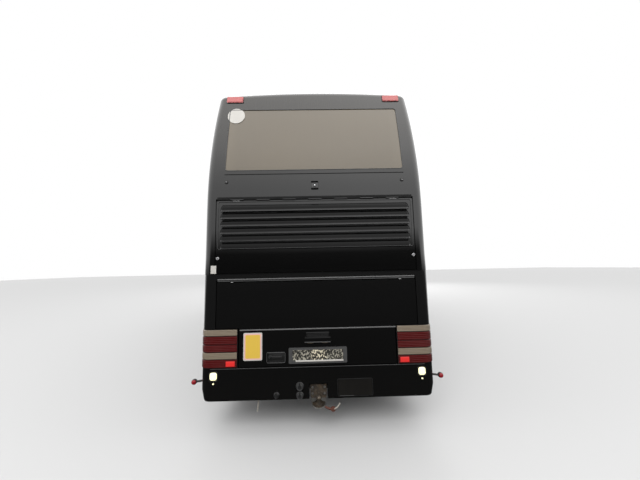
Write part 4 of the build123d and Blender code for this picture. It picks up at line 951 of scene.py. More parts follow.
HOOK = ((0.05, 0.300), (0.085, 0.276), (0.12, 0.262), (0.16, 0.262), (0.195, 0.278), (0.225, 0.318))
hook_red = finish("hook_red", (0.1, 0.036, 0.024), 0.6, 0.4, 60, 0.3)
eye = Form("safety_hook", hook_red, pale_strap)
hook = [(x, y_at(0.02), z) for x, z in HOOK]
eye.tube(hook[:4], 0.011, 0, 10)
eye.tube(hook[3:], 0.008, 1, 10)
eye_ring = ((-0.007, 0.012), (-0.007, 0.026), (0.007, 0.026), (0.007, 0.012))
eye.turned(eye_ring, (0.150, y_at(0.02), 0.262), (0.2, -1, 0), 0, 24)
eye.done(BODY, "coupling_brown")

DRAIN = ((-0.640, 0.05, 0.395), (-0.641, 0.05, 0.33), (-0.646, 0.052, 0.285), (-0.652, 0.055, 0.245))
drain = Form("drain_pipe", pale_strap)
drain.tube([(x, y_at(s), z) for x, s, z in DRAIN], 0.008, 0, 12)
drain.done()

tips = Form("exhaust_tips", pipe_steel, dull_trim)
for x in (0.80, 0.94):
    ring = [(x + a, y_at(0.087) + b, 0.352) for a, b in rounded(-0.053, 0.053, 0.0, 0.106, 0.02)]
    tips.tube(ring, 0.005, 1, 8, closed=True)
tips.done(BODY, "bare_steel")
print("bumper fittings done")

# %% [markdown]
# Geometry Nodes place whatever repeats: wheel nuts, louvre lines, locks, slats, lamps and seats. One helper
# makes a tree with named inputs, runs it on an empty mesh, and keeps the plain result, so that nothing live
# is left.


# %% Growing repeats with Geometry Nodes
class Growth:
    """A node tree that makes a mesh; its sizes are named inputs."""

    KINDS = {float: "NodeSocketFloat", int: "NodeSocketInt", tuple: "NodeSocketVector",
             bpy.types.Object: "NodeSocketObject"}

    def __init__(self, name, points=(), edges=()):
        self.name, self.points, self.edges, self.values = name, points, edges, {}
        self.tree = bpy.data.node_groups.new(name, "GeometryNodeTree")
        for way in ("INPUT", "OUTPUT"):
            self.tree.interface.new_socket("Geometry", in_out=way, socket_type="NodeSocketGeometry")
        self.inputs = self.tree.nodes.new("NodeGroupInput")
        self.output = self.tree.nodes.new("NodeGroupOutput")

    def size(self, name, value):
        """A named input of the tree, with its value."""
        kind = self.KINDS[type(value)]
        socket = self.tree.interface.new_socket(name, in_out="INPUT", socket_type=kind)
        self.values[socket.identifier] = value
        return self.inputs.outputs[name]

    def node(self, kind, settings=None, output="", **inputs):
        """Adds one geometry node, such as MeshToCurve, and gives its first or its named output."""
        made = self.tree.nodes.new("GeometryNode" + kind)
        for key, value in (settings or {}).items():
            setattr(made, key, value)
        for key, value in inputs.items():
            socket = made.inputs[key.replace("_", " ")]
            for one in value if isinstance(value, list) else [value]:
                if hasattr(one, "is_linked"):
                    self.tree.links.new(one, socket)
                else:
                    socket.default_value = one
        return made.outputs[output or 0]

    def moved(self, part, **change):
        return self.node("Transform", Geometry=part, **change)

    def rod(self, sides, radius, depth, middle):
        """An upright cylinder with its middle at a height."""
        made = self.node("MeshCylinder", Vertices=sides, Radius=radius, Depth=depth)
        return self.moved(made, Translation=(0.0, 0.0, middle))

    def copies(self, part, points=None):
        """Copies of a part at points, or else at the start's own points."""
        if points is None:
            points = self.inputs.outputs["Geometry"]
        return self.node("InstanceOnPoints", Points=points, Instance=part)

    def swept(self, section, z_up=False):
        """The start's lines, swept with a section."""
        line = self.node("MeshToCurve", Mesh=self.inputs.outputs["Geometry"])
        if z_up:
            line = self.node("SetCurveNormal", {"mode": "Z_UP"}, Curve=line)
        return self.node("CurveToMesh", Curve=line, Profile_Curve=section, Fill_Caps=True)

    def grown(self, geometry, material, body, slot="trim_plastic", replaces=(), sharp=32):
        """Ends the tree, runs it, and leaves a plain piece on a body."""
        real = self.node("RealizeInstances", Geometry=geometry)
        dressed = self.node("SetMaterial", Geometry=real, Material=material)
        self.tree.links.new(dressed, self.output.inputs[0])
        start = bpy.data.meshes.new(self.name + "_points")
        start.from_pydata(self.points, self.edges, [])
        carrier = bpy.data.objects.new(self.name + "_carrier", start)
        bpy.context.scene.collection.objects.link(carrier)
        modifier = carrier.modifiers.new("growth", "NODES")
        modifier.node_group = self.tree
        for identifier, value in self.values.items():
            modifier[identifier] = value
        data = bpy.data.meshes.new_from_object(carrier.evaluated_get(bpy.context.evaluated_depsgraph_get()))
        carrier.modifiers.remove(modifier)
        bpy.data.objects.remove(carrier)
        form = Form(self.name, material)
        form.mesh.from_mesh(data)
        return form.done(body, slot, replaces, sharp)


def chain(paths, closed=True):
    """Points and edges of several lines, as the start of a growth."""
    points, edges = [], []
    for path in paths:
        first, count = len(points), len(path)
        points += path
        edges += [(first + n, first + (n + 1) % count) for n in range(count if closed else count - 1)]
    return points, edges


def beads(name, paths, radius, material, body=BODY, closed=True):
    """Round rubber or metal beads along lines."""
    growth = Growth(name, *chain(paths, closed))
    ring = growth.node("CurvePrimitiveCircle", Resolution=growth.size("Bead Sides", 8),
                       Radius=growth.size("Bead Radius", radius))
    growth.grown(growth.swept(ring), material, body, sharp=50)


def bar_rows(name, path, count, pitch, width, height, material, body=BODY):
    """One square-edged bar along a line, repeated at a pitch."""
    growth = Growth(name, *chain([path], closed=False))
    rows = growth.node("MeshLine", Count=growth.size("Bar Count", count),
                       Offset=growth.size("Bar Pitch", pitch))
    section = growth.node("CurvePrimitiveQuadrilateral", Width=growth.size("Bar Width", width),
                          Height=growth.size("Bar Height", height))
    growth.grown(growth.copies(growth.swept(section, z_up=True), rows), material, body)


print("growth helpers ready")

# %% [markdown]
# A coach tyre has bulged walls with raised rings, square shoulders with notches, and four grooves round the
# tread. The profile is turned about the axle in small steps, and every other pair of steps cuts a notch in
# the shoulders. It rides on its wheel in place of the frame's plain tyre.

# %% Tyres
TYRE_STEPS, TREAD_HALF, CROWN_DROP = 176, 0.108, 0.003
GROOVES, GROOVE_DEPTH = (0.072, 0.028), 0.011
NOTCH_DEPTH, NOTCH_SKEW, TWIN_HALF = 0.006, 0.011, 0.149
BEAD_R, SHOULDER_R = 0.288, 0.500
BEAD = ((0.104, 0.2865, 0), (0.112, 0.2872, 0), (0.1175, 0.292, 0), (0.1195, 0.300, 0))
# radius, and how far the raised rings stand out of the wall
WALL = ((0.312, 0), (0.3205, 0), (0.3225, 0.0016), (0.3265, 0.0016), (0.3285, 0), (0.345, 0), (0.365, 0),
        (0.3845, 0), (0.386, 0.0009), (0.400, 0.0009), (0.4015, 0), (0.42, 0), (0.441, 0),
        (0.443, 0.0014), (0.447, 0.0014), (0.449, 0), (0.465, 0), (0.480, 0))
SHOULDER = ((0.1305, 0.492, 1), (0.1285, 0.501, 1), (0.1225, 0.511, 1), (0.1145, 0.5165, 1),
            (0.104, 0.5185, 1), (0.090, 0.5192, 1))
s = Shader("tyre_rubber")
caked, fine = s.noise(6, 5, 0.65), s.noise(220, 3, 0.6)
dirt = (caked.above(0.52, 0.35) * 0.55 + 0.12).clamped()
tyre_rubber = s.surface(base_color=s.mix(dirt, grey(0.012), (0.075, 0.068, 0.06)),
                        roughness=(caked * 0.15 + 0.72).clamped(),
                        normal=s.bump(fine + caked * 0.4, 0.25, 0.0008))


def wall_bulge(r):
    """Half the tyre's width at a radius, for the side wall."""
    t = (r - BEAD_R) / (SHOULDER_R - BEAD_R)
    return 0.109 + 0.019 * t + 0.122 * t * (1 - t)


def tyre_profile():
    """Half a tyre's section, from the bead to the middle of the tread, as (x, radius, notched)."""
    points = [*BEAD, *((wall_bulge(r) + lift, r, 0) for r, lift in WALL), *SHOULDER]
    for x in GROOVES:
        crown = TYRE_RADIUS - CROWN_DROP * (x / TREAD_HALF) ** 2
        for across, deep in ((0.0085, 0), (0.0055, GROOVE_DEPTH), (-0.0055, GROOVE_DEPTH), (-0.0085, 0)):
            points.append((x + across, crown - deep, 0))
    return points + [(0.012, TYRE_RADIUS, 0), (0.0035, TYRE_RADIUS, 0), (0.0022, 0.5185, 0)]


HALF_PROFILE = tyre_profile()
PROFILE = HALF_PROFILE + [(-x, r, notched) for x, r, notched in HALF_PROFILE[::-1]]


def tyre(form, x, s):
    rings = []
    for n in range(TYRE_STEPS):
        ring = []
        for across, radius, notched in PROFILE:
            a = math.tau * n / TYRE_STEPS + NOTCH_SKEW * across * notched
            r = radius - (NOTCH_DEPTH if notched and (n + (2 if across < 0 else 0)) % 4 < 2 else 0.0)
            ring.append((x + across, y_at(s) + r * math.cos(a), TYRE_RADIUS + r * math.sin(a)))
        rings.append(ring)
    form.rings(rings, closed=True)


WHEELS = [(axle, side, out) for axle in AXLES for side, out in SIDES]
wheel_x = {}
for axle, side, out in WHEELS:
    node = f"{axle}_{side}_tyre"
    low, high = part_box(node)
    wheel_x[axle, side] = (low[0] + high[0]) / 2
    middles = (low[0] + TWIN_HALF, high[0] - TWIN_HALF) if axle == "drive" else (wheel_x[axle, side],)
    form = Form(f"tread_{axle}_{side}", tyre_rubber)
    for x in middles:
        tyre(form, x, AXLES[axle])
    form.done(f"{axle}_{side}_wheel", "tyre_rubber", (node,), sharp=40)

# %% [markdown]
# Each disc carries ten nuts on their collars, a hub cap with a raised ring, and a valve. The nuts are one
# node tree: a circle of points, each holding a six-sided nut with a round collar and a stud end.

# %% Wheel nuts and hubs
NUT_COUNT, NUT_CIRCLE = 10, 0.1675
# how far the nuts' face lies outside the tyre's middle, and the cap outside that face
WHEEL_FACE = {"tag": (0.092, 0.040), "front": (0.092, 0.040), "drive": (0.014, 0.130)}
CAP = ((-0.004, 0.0), (-0.004, 0.121), (-0.001, 0.1215), (0.003, 0.117), (0.004, 0.105), (0.003, 0.094),
       (0.0055, 0.088), (0.007, 0.07), (0.0075, 0.0))
CAP_RING = ((-0.004, 0.126), (-0.004, 0.136), (0.005, 0.134), (0.007, 0.129), (0.007, 0.1262))
CAP_BOLT = ((0, 0), (0, 0.0095), (0.0075, 0.0095), (0.0085, 0.008), (0.0085, 0))
# the valve: out of the nuts' face, and up from the hub
VALVE = ((-0.022, 0.222), (0.006, 0.220), (0.028, 0.210))
stud_steel = finish("stud_steel", (0.24, 0.225, 0.21), 0.45, 0.35, 90, 0.2, metallic=0.85, dust=0.35)
hub_paint = finish("hub_paint", (0.2, 0.2, 0.205), 0.42, 0.25, 60, 0.08, metallic=0.4, dust=0.45)

for axle, side, out in WHEELS:
    face, reach = WHEEL_FACE[axle]
    x, y = wheel_x[axle, side] + out * face, y_at(AXLES[axle])
    body = f"{axle}_{side}_wheel"
    growth = Growth(f"nuts_{axle}_{side}")
    ring = growth.node("MeshCircle", Vertices=growth.size("Nut Count", NUT_COUNT),
                       Radius=growth.size("Circle Radius", NUT_CIRCLE))
    nut = growth.rod(6, growth.size("Nut Radius", 0.0165), growth.size("Nut Depth", 0.026), 0.013)
    collar, stud = growth.rod(20, 0.0215, 0.006, 0.003), growth.rod(12, 0.0095, 0.014, 0.032)
    nuts = growth.copies(growth.node("JoinGeometry", Geometry=[nut, collar, stud]), ring)
    nuts = growth.moved(nuts, Rotation=(0.0, out * math.pi / 2, 0.0))
    nuts = growth.moved(nuts, Translation=growth.size("Hub Place", (x, y, TYRE_RADIUS)))
    growth.grown(nuts, stud_steel, body, "bare_steel")

    hub = Form(f"hub_{axle}_{side}", hub_paint, stud_steel, soft_rubber)
    hub.turned([(reach + along, r) for along, r in CAP], (x, y, TYRE_RADIUS), (out, 0, 0), 0, 48)
    hub.turned(CAP_RING, (x, y, TYRE_RADIUS), (out, 0, 0), 0, 48)
    for bolt_y, bolt_z in disc(y, TYRE_RADIUS, 0.104, 6, 30):
        hub.turned(CAP_BOLT, (x + out * (reach + 0.002), bolt_y, bolt_z), (out, 0, 0), 1, 6)
    hub.tube([(x + out * along, y, TYRE_RADIUS + up) for along, up in VALVE], 0.0042, 1)
    hub.done(body, "wheel_silver")
    dress(f"{axle}_{side}_rim", wheel_paint)
print("six wheels finished")

# %% [markdown]
# The rear flap breathes through six pressed hoods. From behind, each one reads as a black line over a dark
# face with a thin lit lip. So a pale grey lip bead paints the lip's highlight, a skirt gives the face, and a
# black bead paints the shadow line along the hood's top; they are swept along one hood's edge, and Geometry
# Nodes copy them down the flap at the louvres' pitch.

# %% Louvre lip highlights and shadow lines
LOUVRE_COUNT, LOUVRE_TOP, LOUVRE_PITCH, LOUVRE_DROP = 6, 2.459, 0.084, 0.058
LOUVRE_HALF, LOUVRE_DEPTH = 1.035, 0.026
HOOD_END = ((0.0, 0.0), (0.009, -0.012), (0.016, -0.023), (0.022, -0.040), (0.025, -0.056))


def both_halves(right):
    """A line across the tail from its right half."""
    return [(-x, y, z) for x, y, z in right[::-1]] + right


def hood_edge(drop, reach):
    """A line round a hood's lower edge, at a distance from the flap."""
    low = LOUVRE_TOP - LOUVRE_DROP - drop
    quarter = disc(LOUVRE_HALF, TAIL_Y, reach, 24, -90)[:7]
    return both_halves([(x, y, low) for x, y in quarter])


hood_top = both_halves([(LOUVRE_HALF + out, TAIL_Y - 0.001, LOUVRE_TOP + up) for out, up in HOOD_END])
for name, path, width, height, material in (
    # Black beads along each hood's top: a painted shadow.
    ("louvre_shadow_lines", hood_top, 0.007, 0.011, joint_black),
    ("louvre_skirts", hood_edge(0.004, LOUVRE_DEPTH - 0.002), 0.0035, 0.016, lid_paint),
    # Pale grey beads along each hood's lip: a painted highlight.
    ("louvre_lips", hood_edge(0.0125, LOUVRE_DEPTH - 0.001), 0.004, 0.0035, trim_grey),
):
    bar_rows(name, path, LOUVRE_COUNT, (0.0, 0.0, -LOUVRE_PITCH), width, height, material, FLAP)

# %% [markdown]
# A raised rim frames the louvres, and a rubber holds the tall rear window. Both are round beads that follow
# the tail's lean.

# %% Flap rim and window rubber
WINDOW_HALF, WINDOW_LOW, WINDOW_TOP, WINDOW_TAPER = 1.027, 2.87, 3.66, 0.0243

rim = [on_tail(x, z, 0.0005) for x, z in grid_outline(rounded(-1.090, 1.090, 1.964, 2.499, 0.02), 0.3)]
beads("louvre_frame_rim", [rim], 0.0045, lid_paint, FLAP)
pane = grid_outline(rounded(-WINDOW_HALF, WINDOW_HALF, WINDOW_LOW, WINDOW_TOP, 0.03), 0.08)
pane = [(x * (1 - WINDOW_TAPER * (z - WINDOW_LOW) / (WINDOW_TOP - WINDOW_LOW)), z) for x, z in pane]
beads("rear_window_rubber", [[on_tail(x, z, -0.001) for x, z in pane]], 0.005, trim_grey)
print("tail trim done")

# %% [markdown]
# The saloon holds pairs of high-backed seats on pedestals. A seat is a hard shell with armrests, a base
# cushion and a back cushion. A cushion starts as a closed block of quads whose rows lie where its seams
# will be. Its underside is held and a cloth simulation blows it up, so that the top crowns and the sides
# pull in between the corners. Then the seams are pressed in. One of each is made, and Geometry Nodes copy
# it to every row.

# %% Cushions
WIDE, PAN_DEEP, BACK_DEEP = 0.420, 0.385, 0.665
LEAN_UP, LEAN_OUT = Vector((0, -0.1843, 0.9829)), Vector((0, 0.9829, 0.1843))
BACK_FOOT = Vector((0, -0.176, 0.452))
CLOTH = {"quality": 6, "mass": 0.35, "tension_stiffness": 18, "compression_stiffness": 18,
         "bending_stiffness": 1.2, "use_pressure": True, "uniform_pressure_force": 4.0,
         "vertex_group_mass": "held"}
CLOTH_FRAMES, MOST_SWELL, SEAM_DEPTH, CUSHION_EDGE = 20, 0.014, 0.008, 0.006
CROWN_BORDER, BORDER_THICK, WING_FROM, WING_TO = 0.045, 0.62, 0.55, 0.92


def block(counts):
    """Closed block of quads: its points as whole steps (i, j, k), and its faces."""
    numbers, faces = {}, []
    for axis in range(3):
        a, b = (axis + 1) % 3, (axis + 2) % 3
        for end in (0, counts[axis]):
            for i in range(counts[a]):
                for j in range(counts[b]):
                    corners = []
                    for di, dj in ((0, 0), (1, 0), (1, 1), (0, 1)):
                        step = [0, 0, 0]
                        step[axis], step[a], step[b] = end, i + di, j + dj
                        corners.append(numbers.setdefault(tuple(step), len(numbers)))
                    faces.append(corners if end else corners[::-1])
    return list(numbers), faces


def blow_up(data, held):
    """Cloth on a closed mesh with some points held; no point moves further than MOST_SWELL."""
    start = [v.co.copy() for v in data.vertices]
    soft = bpy.data.objects.new("soft", data)
    bpy.context.scene.collection.objects.link(soft)
    soft.vertex_groups.new(name="held").add(held, 1.0, "REPLACE")
    cloth = soft.modifiers.new("cloth", "CLOTH")
    for key, value in CLOTH.items():
        setattr(cloth.settings, key, value)
    cloth.settings.effector_weights.gravity = 0
    for n in range(1, CLOTH_FRAMES + 1):
        bpy.context.scene.frame_set(n)
    result = soft.evaluated_get(bpy.context.evaluated_depsgraph_get()).data
    moved = [v.co.copy() for v in result.vertices]
    soft.modifiers.remove(cloth)
    for vertex, old, new in zip(data.vertices, start, moved):
        way = new - old
        vertex.co = old + way * min(1.0, MOST_SWELL / max(way.length, 1e-9))
    bpy.data.objects.remove(soft)
    bpy.context.scene.frame_set(1)


def cushion(name, wide, deep, thick, counts, seams_across=(), seams_along=(), wings=0.0):
    """Blown-up cushion: x across, y along it, z its thickness, lying on z = 0."""
    steps, faces = block(counts)
    points = []
    for i, j, k in steps:
        u, v, w = i / counts[0], j / counts[1], k / counts[2]
        border = min(u * wide, (1 - u) * wide, v * deep, (1 - v) * deep)
        edge = min(1.0, border / CROWN_BORDER)
        body = thick * (1 - (1 - BORDER_THICK) * (1 - edge) ** 2)
        side = abs(2 * u - 1)
        rise, fall = (max(0.0, side - start) / (1 - start) for start in (WING_FROM, WING_TO))
        body += wings * rise * (1 - fall)
        inset = CUSHION_EDGE * (1 - abs(2 * w - 1)) * (i in (0, counts[0]))
        x = (u - 0.5) * (wide - 2 * CUSHION_EDGE) + math.copysign(inset, u - 0.5)
        points.append((x, CUSHION_EDGE + v * (deep - 2 * CUSHION_EDGE), w * body))
    data = bpy.data.meshes.new(name)
    data.from_pydata(points, [], faces)
    data.update()
    blow_up(data, [n for n, step in enumerate(steps) if step[2] == 0])
    rim = []
    for (i, j, k), vertex in zip(steps, data.vertices):
        if k < counts[2]:
            continue
        if i in (0, counts[0]) or j in (0, counts[1]):
            rim.append(vertex.co.copy())
        elif i in seams_across or j in seams_along:
            vertex.co.z -= SEAM_DEPTH
    rim.sort(key=lambda p: math.atan2(p.y - deep / 2, p.x))
    return data, rim


base_data, base_rim = cushion("base_cushion", WIDE, PAN_DEEP, 0.078, (20, 18, 4), (5, 15), (5, 10, 14))
back_data, back_rim = cushion("back_cushion", WIDE, BACK_DEEP, 0.052, (20, 28, 4), (4, 16), (8, 14, 20),
                              wings=0.022)
leaning = Matrix.Identity(4)
for column, direction in ((1, LEAN_UP), (2, LEAN_OUT)):
    for row in range(3):
        leaning[row][column] = direction[row]
base_place = Matrix.Translation((0, -0.145, 0.385))
back_place = Matrix.Translation(BACK_FOOT) @ leaning


def put(data, rim, place):
    """Moves a cushion and its rim to their place."""
    data.transform(place)
    rim[:] = [place @ p for p in rim]


put(base_data, base_rim, base_place)
put(back_data, back_rim, back_place)
print("cushions", len(base_data.polygons), len(back_data.polygons), "faces")

# %% [markdown]
# Coach seats wear a short velour, woven with a small fleck so that it hides dirt. The fleck and the weave are
# noise and waves over the cloth, and a sheen lifts the edges of each fold.

# %% Seat cloth and trim
WEAVE, STRIPE = 2400, 55.8
s = Shader("seat_velour")
pile, wear = s.noise(520, 2, 0.6), s.noise(5, 4, 0.6)
x, y, z = (s.axis(letter) for letter in "XYZ")
fleck = s.cells(58).maths("LESS_THAN", 0.2)
stripe = ((x + y + z) * STRIPE).maths("SINE").above(0.75, 0.3)
weave = ((x * WEAVE).maths("SINE") + ((y + z) * WEAVE).maths("SINE")) * 0.25 + 0.5
cloth = s.mix((fleck * 0.7 * stripe + fleck * 0.15).clamped(), (0.020, 0.026, 0.045), (0.16, 0.17, 0.2))
cloth = s.mix((wear.above(0.6, 0.4) * 0.25).clamped(), cloth, (0.055, 0.06, 0.08))
seat_velour = s.surface(base_color=cloth, roughness=(pile * 0.1 + 0.84).clamped(), sheen_weight=0.35,
                        sheen_roughness=0.4, normal=s.bump(pile * 0.6 + weave * 0.4, 0.35, 0.0008))
seat_piping = finish("seat_piping", (0.03, 0.032, 0.038), 0.6, 0.1, 400, 0.3)
shell_plastic = finish("shell_plastic", (0.05, 0.052, 0.056), 0.55, 0.12, 420, 0.3, dust=0.06)
seat_legs = finish("seat_legs", (0.09, 0.09, 0.095), 0.4, 0.15, 80, 0.06, metallic=0.5, dust=0.2)

# %% [markdown]
# Under the cloth, a seat is a moulded back shell with a bag on its rear, a pan, armrests and a grab handle.
# Two seats share one pedestal. The shell is a section of (across, out) pairs set at heights up its lean.

# %% Seat shells
SEAT_GAP, PAIR_HALF = 0.225, 0.44
# height up the back, width and thickness of the shell there
BACK_LEVELS = ((0.0, 0.98, 0.020), (0.1, 1.0, 0.030), (0.45, 1.0, 0.034), (0.62, 0.99, 0.032),
               (0.66, 0.95, 0.026), (0.685, 0.86, 0.014))
BACK_SECTION = ((-1, 0), (-1, -0.45), (-0.86, -1), (-0.3, -1.12), (0.3, -1.12), (0.86, -1), (1, -0.45),
                (1, 0), (0.86, 0.1), (-0.86, 0.1))
POCKET = ((0.10, 0.040), (0.16, 0.052), (0.24, 0.054), (0.30, 0.044))
POCKET_SECTION = ((-1, 0.02), (-0.93, 0), (0.93, 0), (1, 0.02))
HANDLE = ((0, 0.655, 0.008), (0, 0.70, 0.012), (0.05, 0.70, 0.012), (0.05, 0.655, 0.008))
LEG = ((0.008, 0.095), (0.06, 0.060), (0.20, 0.050), (0.31, 0.075), (0.368, 0.105))


def on_back(foot, across, up, out=0.0):
    """A point of a leaning back: across it, up it and out of its face."""
    return foot + Vector((across, 0, 0)) + LEAN_UP * up + LEAN_OUT * out


def pair_shell():
    """Back shells, pans, armrests and pockets for two seats, with the floor at z = 0."""
    form = Form("seat_shells")
    half = WIDE / 2 + 0.004
    for x in (-SEAT_GAP, SEAT_GAP):
        foot, out = BACK_FOOT + Vector((x, 0, 0)), math.copysign(1, x)
        form.box((x - half, -0.150, 0.366), (x + half, 0.232, 0.388), bevel=0.008)
        form.rings([[on_back(foot, a * half * wide, up, b * thick) for a, b in BACK_SECTION]
                    for up, wide, thick in BACK_LEVELS])
        form.rings([[on_back(foot, a * 0.15, up, b - swell) for a, b in POCKET_SECTION]
                    for up, swell in POCKET])
        form.tube([on_back(foot, out * (0.13 + a), up, -deep) for a, up, deep in HANDLE], 0.008)
    for x, wide in ((-PAIR_HALF + 0.013, 0.012), (0.0, 0.009), (PAIR_HALF - 0.013, 0.012)):
        form.box((x - wide, -0.185, 0.590), (x + wide, 0.110, 0.625), bevel=0.008)
    return form


def pair_legs():
    """Pedestal: two pressed legs on a floor rail, with cross tubes under the pans."""
    form = Form("seat_legs")
    for x in (-0.25, 0.22):
        form.box((x - 0.018, -0.100, 0.0), (x + 0.018, 0.100, 0.012), bevel=0.003)
        form.rings([[(x - 0.013, -half, z), (x + 0.013, -half, z), (x + 0.013, half, z), (x - 0.013, half, z)]
                    for z, half in LEG])
    for y in (-0.085, 0.095):
        form.tube([(-0.425, y, 0.352), (0.425, y, 0.352)], 0.014, sides=12)
    for x in (-SEAT_GAP, SEAT_GAP, 0.0):
        form.tube([(x, -0.176, 0.352), (x, 0.205, 0.352)], 0.010, sides=8)
    for x in (-0.07, 0.07):
        form.box((x - 0.014, -0.165, 0.40), (x + 0.014, -0.125, 0.465), bevel=0.004)
    return form


def piping(name, rims, *materials):
    """Cord sewn round the cushions' rims."""
    form = Form(name, *materials)
    for rim in rims:
        form.tube(rim, 0.0045, sides=6, closed=True)
    return form


# %% [markdown]
# The upper deck seats most people: full rows on the door side, and gaps beside the stairs on the other. The
# lower deck has a few rows between the wheel tunnels.

# %% Rows of seats
SEAT_X, ROW_PITCH = 0.68, 0.79
SEAT_ROWS = (
    # side, floor height, first s, rows
    (1, 2.23, 1.10, 13), (-1, 2.23, 1.10, 4), (-1, 2.23, 6.41, 1), (-1, 2.23, 9.00, 3), (-1, 0.37, 6.41, 1),
    (1, 0.37, 6.15, 3),
)
pairs = [(side * SEAT_X, y_at(first + n * ROW_PITCH), floor) for side, floor, first, rows in SEAT_ROWS
         for n in range(rows)]
singles = [(x + shift, y, z) for x, y, z in pairs for shift in (-SEAT_GAP, SEAT_GAP)]
base, back = (bpy.data.objects.new(data.name + "_source", data) for data in (base_data, back_data))
edge = piping("seat_piping", (base_rim, back_rim)).loose("_source")
COPIES = (
    ("seat_base_cushions", base, singles, seat_velour, "seat_fabric", 60),
    ("seat_back_cushions", back, singles, seat_velour, "seat_fabric", 60),
    ("seat_edge_piping", edge, singles, seat_piping, "seat_fabric", 60),
    ("seat_shells", pair_shell().loose("_source"), pairs, shell_plastic, "trim_plastic", 32),
    ("seat_pedestals", pair_legs().loose("_source"), pairs, seat_legs, "chassis_black", 32),
)
for name, source, places, material, slot, sharp in COPIES:
    growth = Growth(name, places)
    part = growth.node("ObjectInfo", output="Geometry", Object=growth.size("Seat Part", source))
    piece = growth.grown(growth.copies(part), material, BODY, slot, ("seats",), sharp)
    "cushions" in name
    bpy.data.objects.remove(source)
print(len(singles), "seats in", len(pairs), "pairs")

# %% [markdown]
# The driver's seat stands alone: wider, on a bellows with a round base, with a headrest and two armrests.

# %% Driver's seat
DRIVER_AT = Vector((-0.64, y_at(10.6), 0.37))
DRIVER_WIDE, HEADREST_UP = 0.50, 0.515
DRIVER_SECTION = ((-1, 0), (-0.92, -0.8), (-0.4, -1), (0.4, -1), (0.92, -0.8), (1, 0), (0.8, 0.1),
                  (-0.8, 0.1))
DRIVER_FOOT = ((0, 0), (0, 0.15), (0.02, 0.15), (0.045, 0.12), (0.06, 0.10), (0.06, 0))
head_place = Matrix.Translation(LEAN_UP * HEADREST_UP) @ back_place
CUSHIONS = (
    ("base", base_place, (DRIVER_WIDE, PAN_DEEP, 0.085, (20, 16, 4), (4, 16), (5, 11), 0.012)),
    ("back", back_place, (DRIVER_WIDE, 0.50, 0.056, (20, 20, 4), (4, 16), (5, 10, 15), 0.026)),
    ("head", head_place, (0.27, 0.15, 0.055, (12, 8, 4), (), (4,))),
)
rims = []
for name, place, sizes in CUSHIONS:
    data, rim = cushion(f"driver_{name}", *sizes)
    put(data, rim, Matrix.Translation(DRIVER_AT) @ place)
    rims.append(rim)
    part = Form(f"driver_cushion_{name}", seat_velour)
    part.mesh.from_mesh(data)
    part.done(BODY, "seat_fabric", ("seats",), 60)

seat = Form("driver_seat_frame", shell_plastic, soft_rubber, seat_legs)
x, y, z = DRIVER_AT
foot = DRIVER_AT + BACK_FOOT
seat.box((x - 0.245, y - 0.150, z + 0.360), (x + 0.245, y + 0.235, z + 0.388), 0, 0.010)
for low, high, half in ((0.0, 0.50, 0.235), (HEADREST_UP, 0.665, 0.12)):
    levels = ((low, 0.9), (low + 0.03, 1.0), (high - 0.04, 1.0), (high, 0.88))
    seat.rings([[on_back(foot, a * half * grow, up, b * 0.034) for a, b in DRIVER_SECTION]
                for up, grow in levels])
for shift in (-0.05, 0.05):
    post = foot + Vector((shift, -0.010, 0))
    seat.tube([post + LEAN_UP * 0.48, post + LEAN_UP * 0.54], 0.006, 2)
for n in range(6):
    low = z + 0.05 + n * 0.048
    for half_x, half_y, a, b in ((0.16, 0.10, 0.0, 0.024), (0.176, 0.116, 0.022, 0.048)):
        seat.box((x - half_x, y - half_y, low + a), (x + half_x, y + half_y, low + b), 1, 0.006)
seat.turned(DRIVER_FOOT, DRIVER_AT, (0, 0, 1), 2, 36)
for arm_x in (x - 0.235, x + 0.235):
    seat.box((arm_x - 0.018, y - 0.175, z + 0.615), (arm_x + 0.018, y + 0.115, z + 0.650), 0, 0.012)
seat.done(replaces=("seats",))
piping("driver_seat_piping", rims, seat_piping).done(BODY, "seat_fabric", ("seats",))
print("driver's seat done")

# %% [markdown]
# Every pane sits in a round rubber bead. The beads follow the windows' outlines on the curved walls, so
# they are lines swept by a node tree: one piece for each body that carries glass.

# %% Window rubbers
WINDOW_CORNER, GLASS_INSET = 0.06, 0.003
UPPER_LOW, UPPER_HIGH, LOWER_LOW, LOWER_HIGH = 2.72, 3.64, 1.23, 2.01
PILLAR, DRIVER_PANE = 0.09, (10.01, 11.18, 1.09, LOWER_HIGH)
DOORS = {"middle_door": 4.8, "front_door": 10.06}


def panes_along(first, last, count, low=LOWER_LOW, high=LOWER_HIGH):
    """Equal panes between two places, as (s, s, z, z)."""
    wide = (last - first - (count - 1) * PILLAR) / count
    starts = [first + n * (wide + PILLAR) for n in range(count)]
    return [(start, start + wide, low, high) for start in starts]


def outline_on(side, pane, grow=0.0, depth=0.0, corner=WINDOW_CORNER, step=0.25):
    a0, a1, b0, b1 = pane
    outline = rounded(a0 - grow, a1 + grow, b0 - grow, b1 + grow, corner)
    return [walls[side](a, b, depth) for a, b in grid_outline(outline, step)]


def door_bead(door, kind, radius, outline):
    beads(f"{door}_{kind}_rubber", [outline], radius, soft_rubber, f"{door}_leaf")


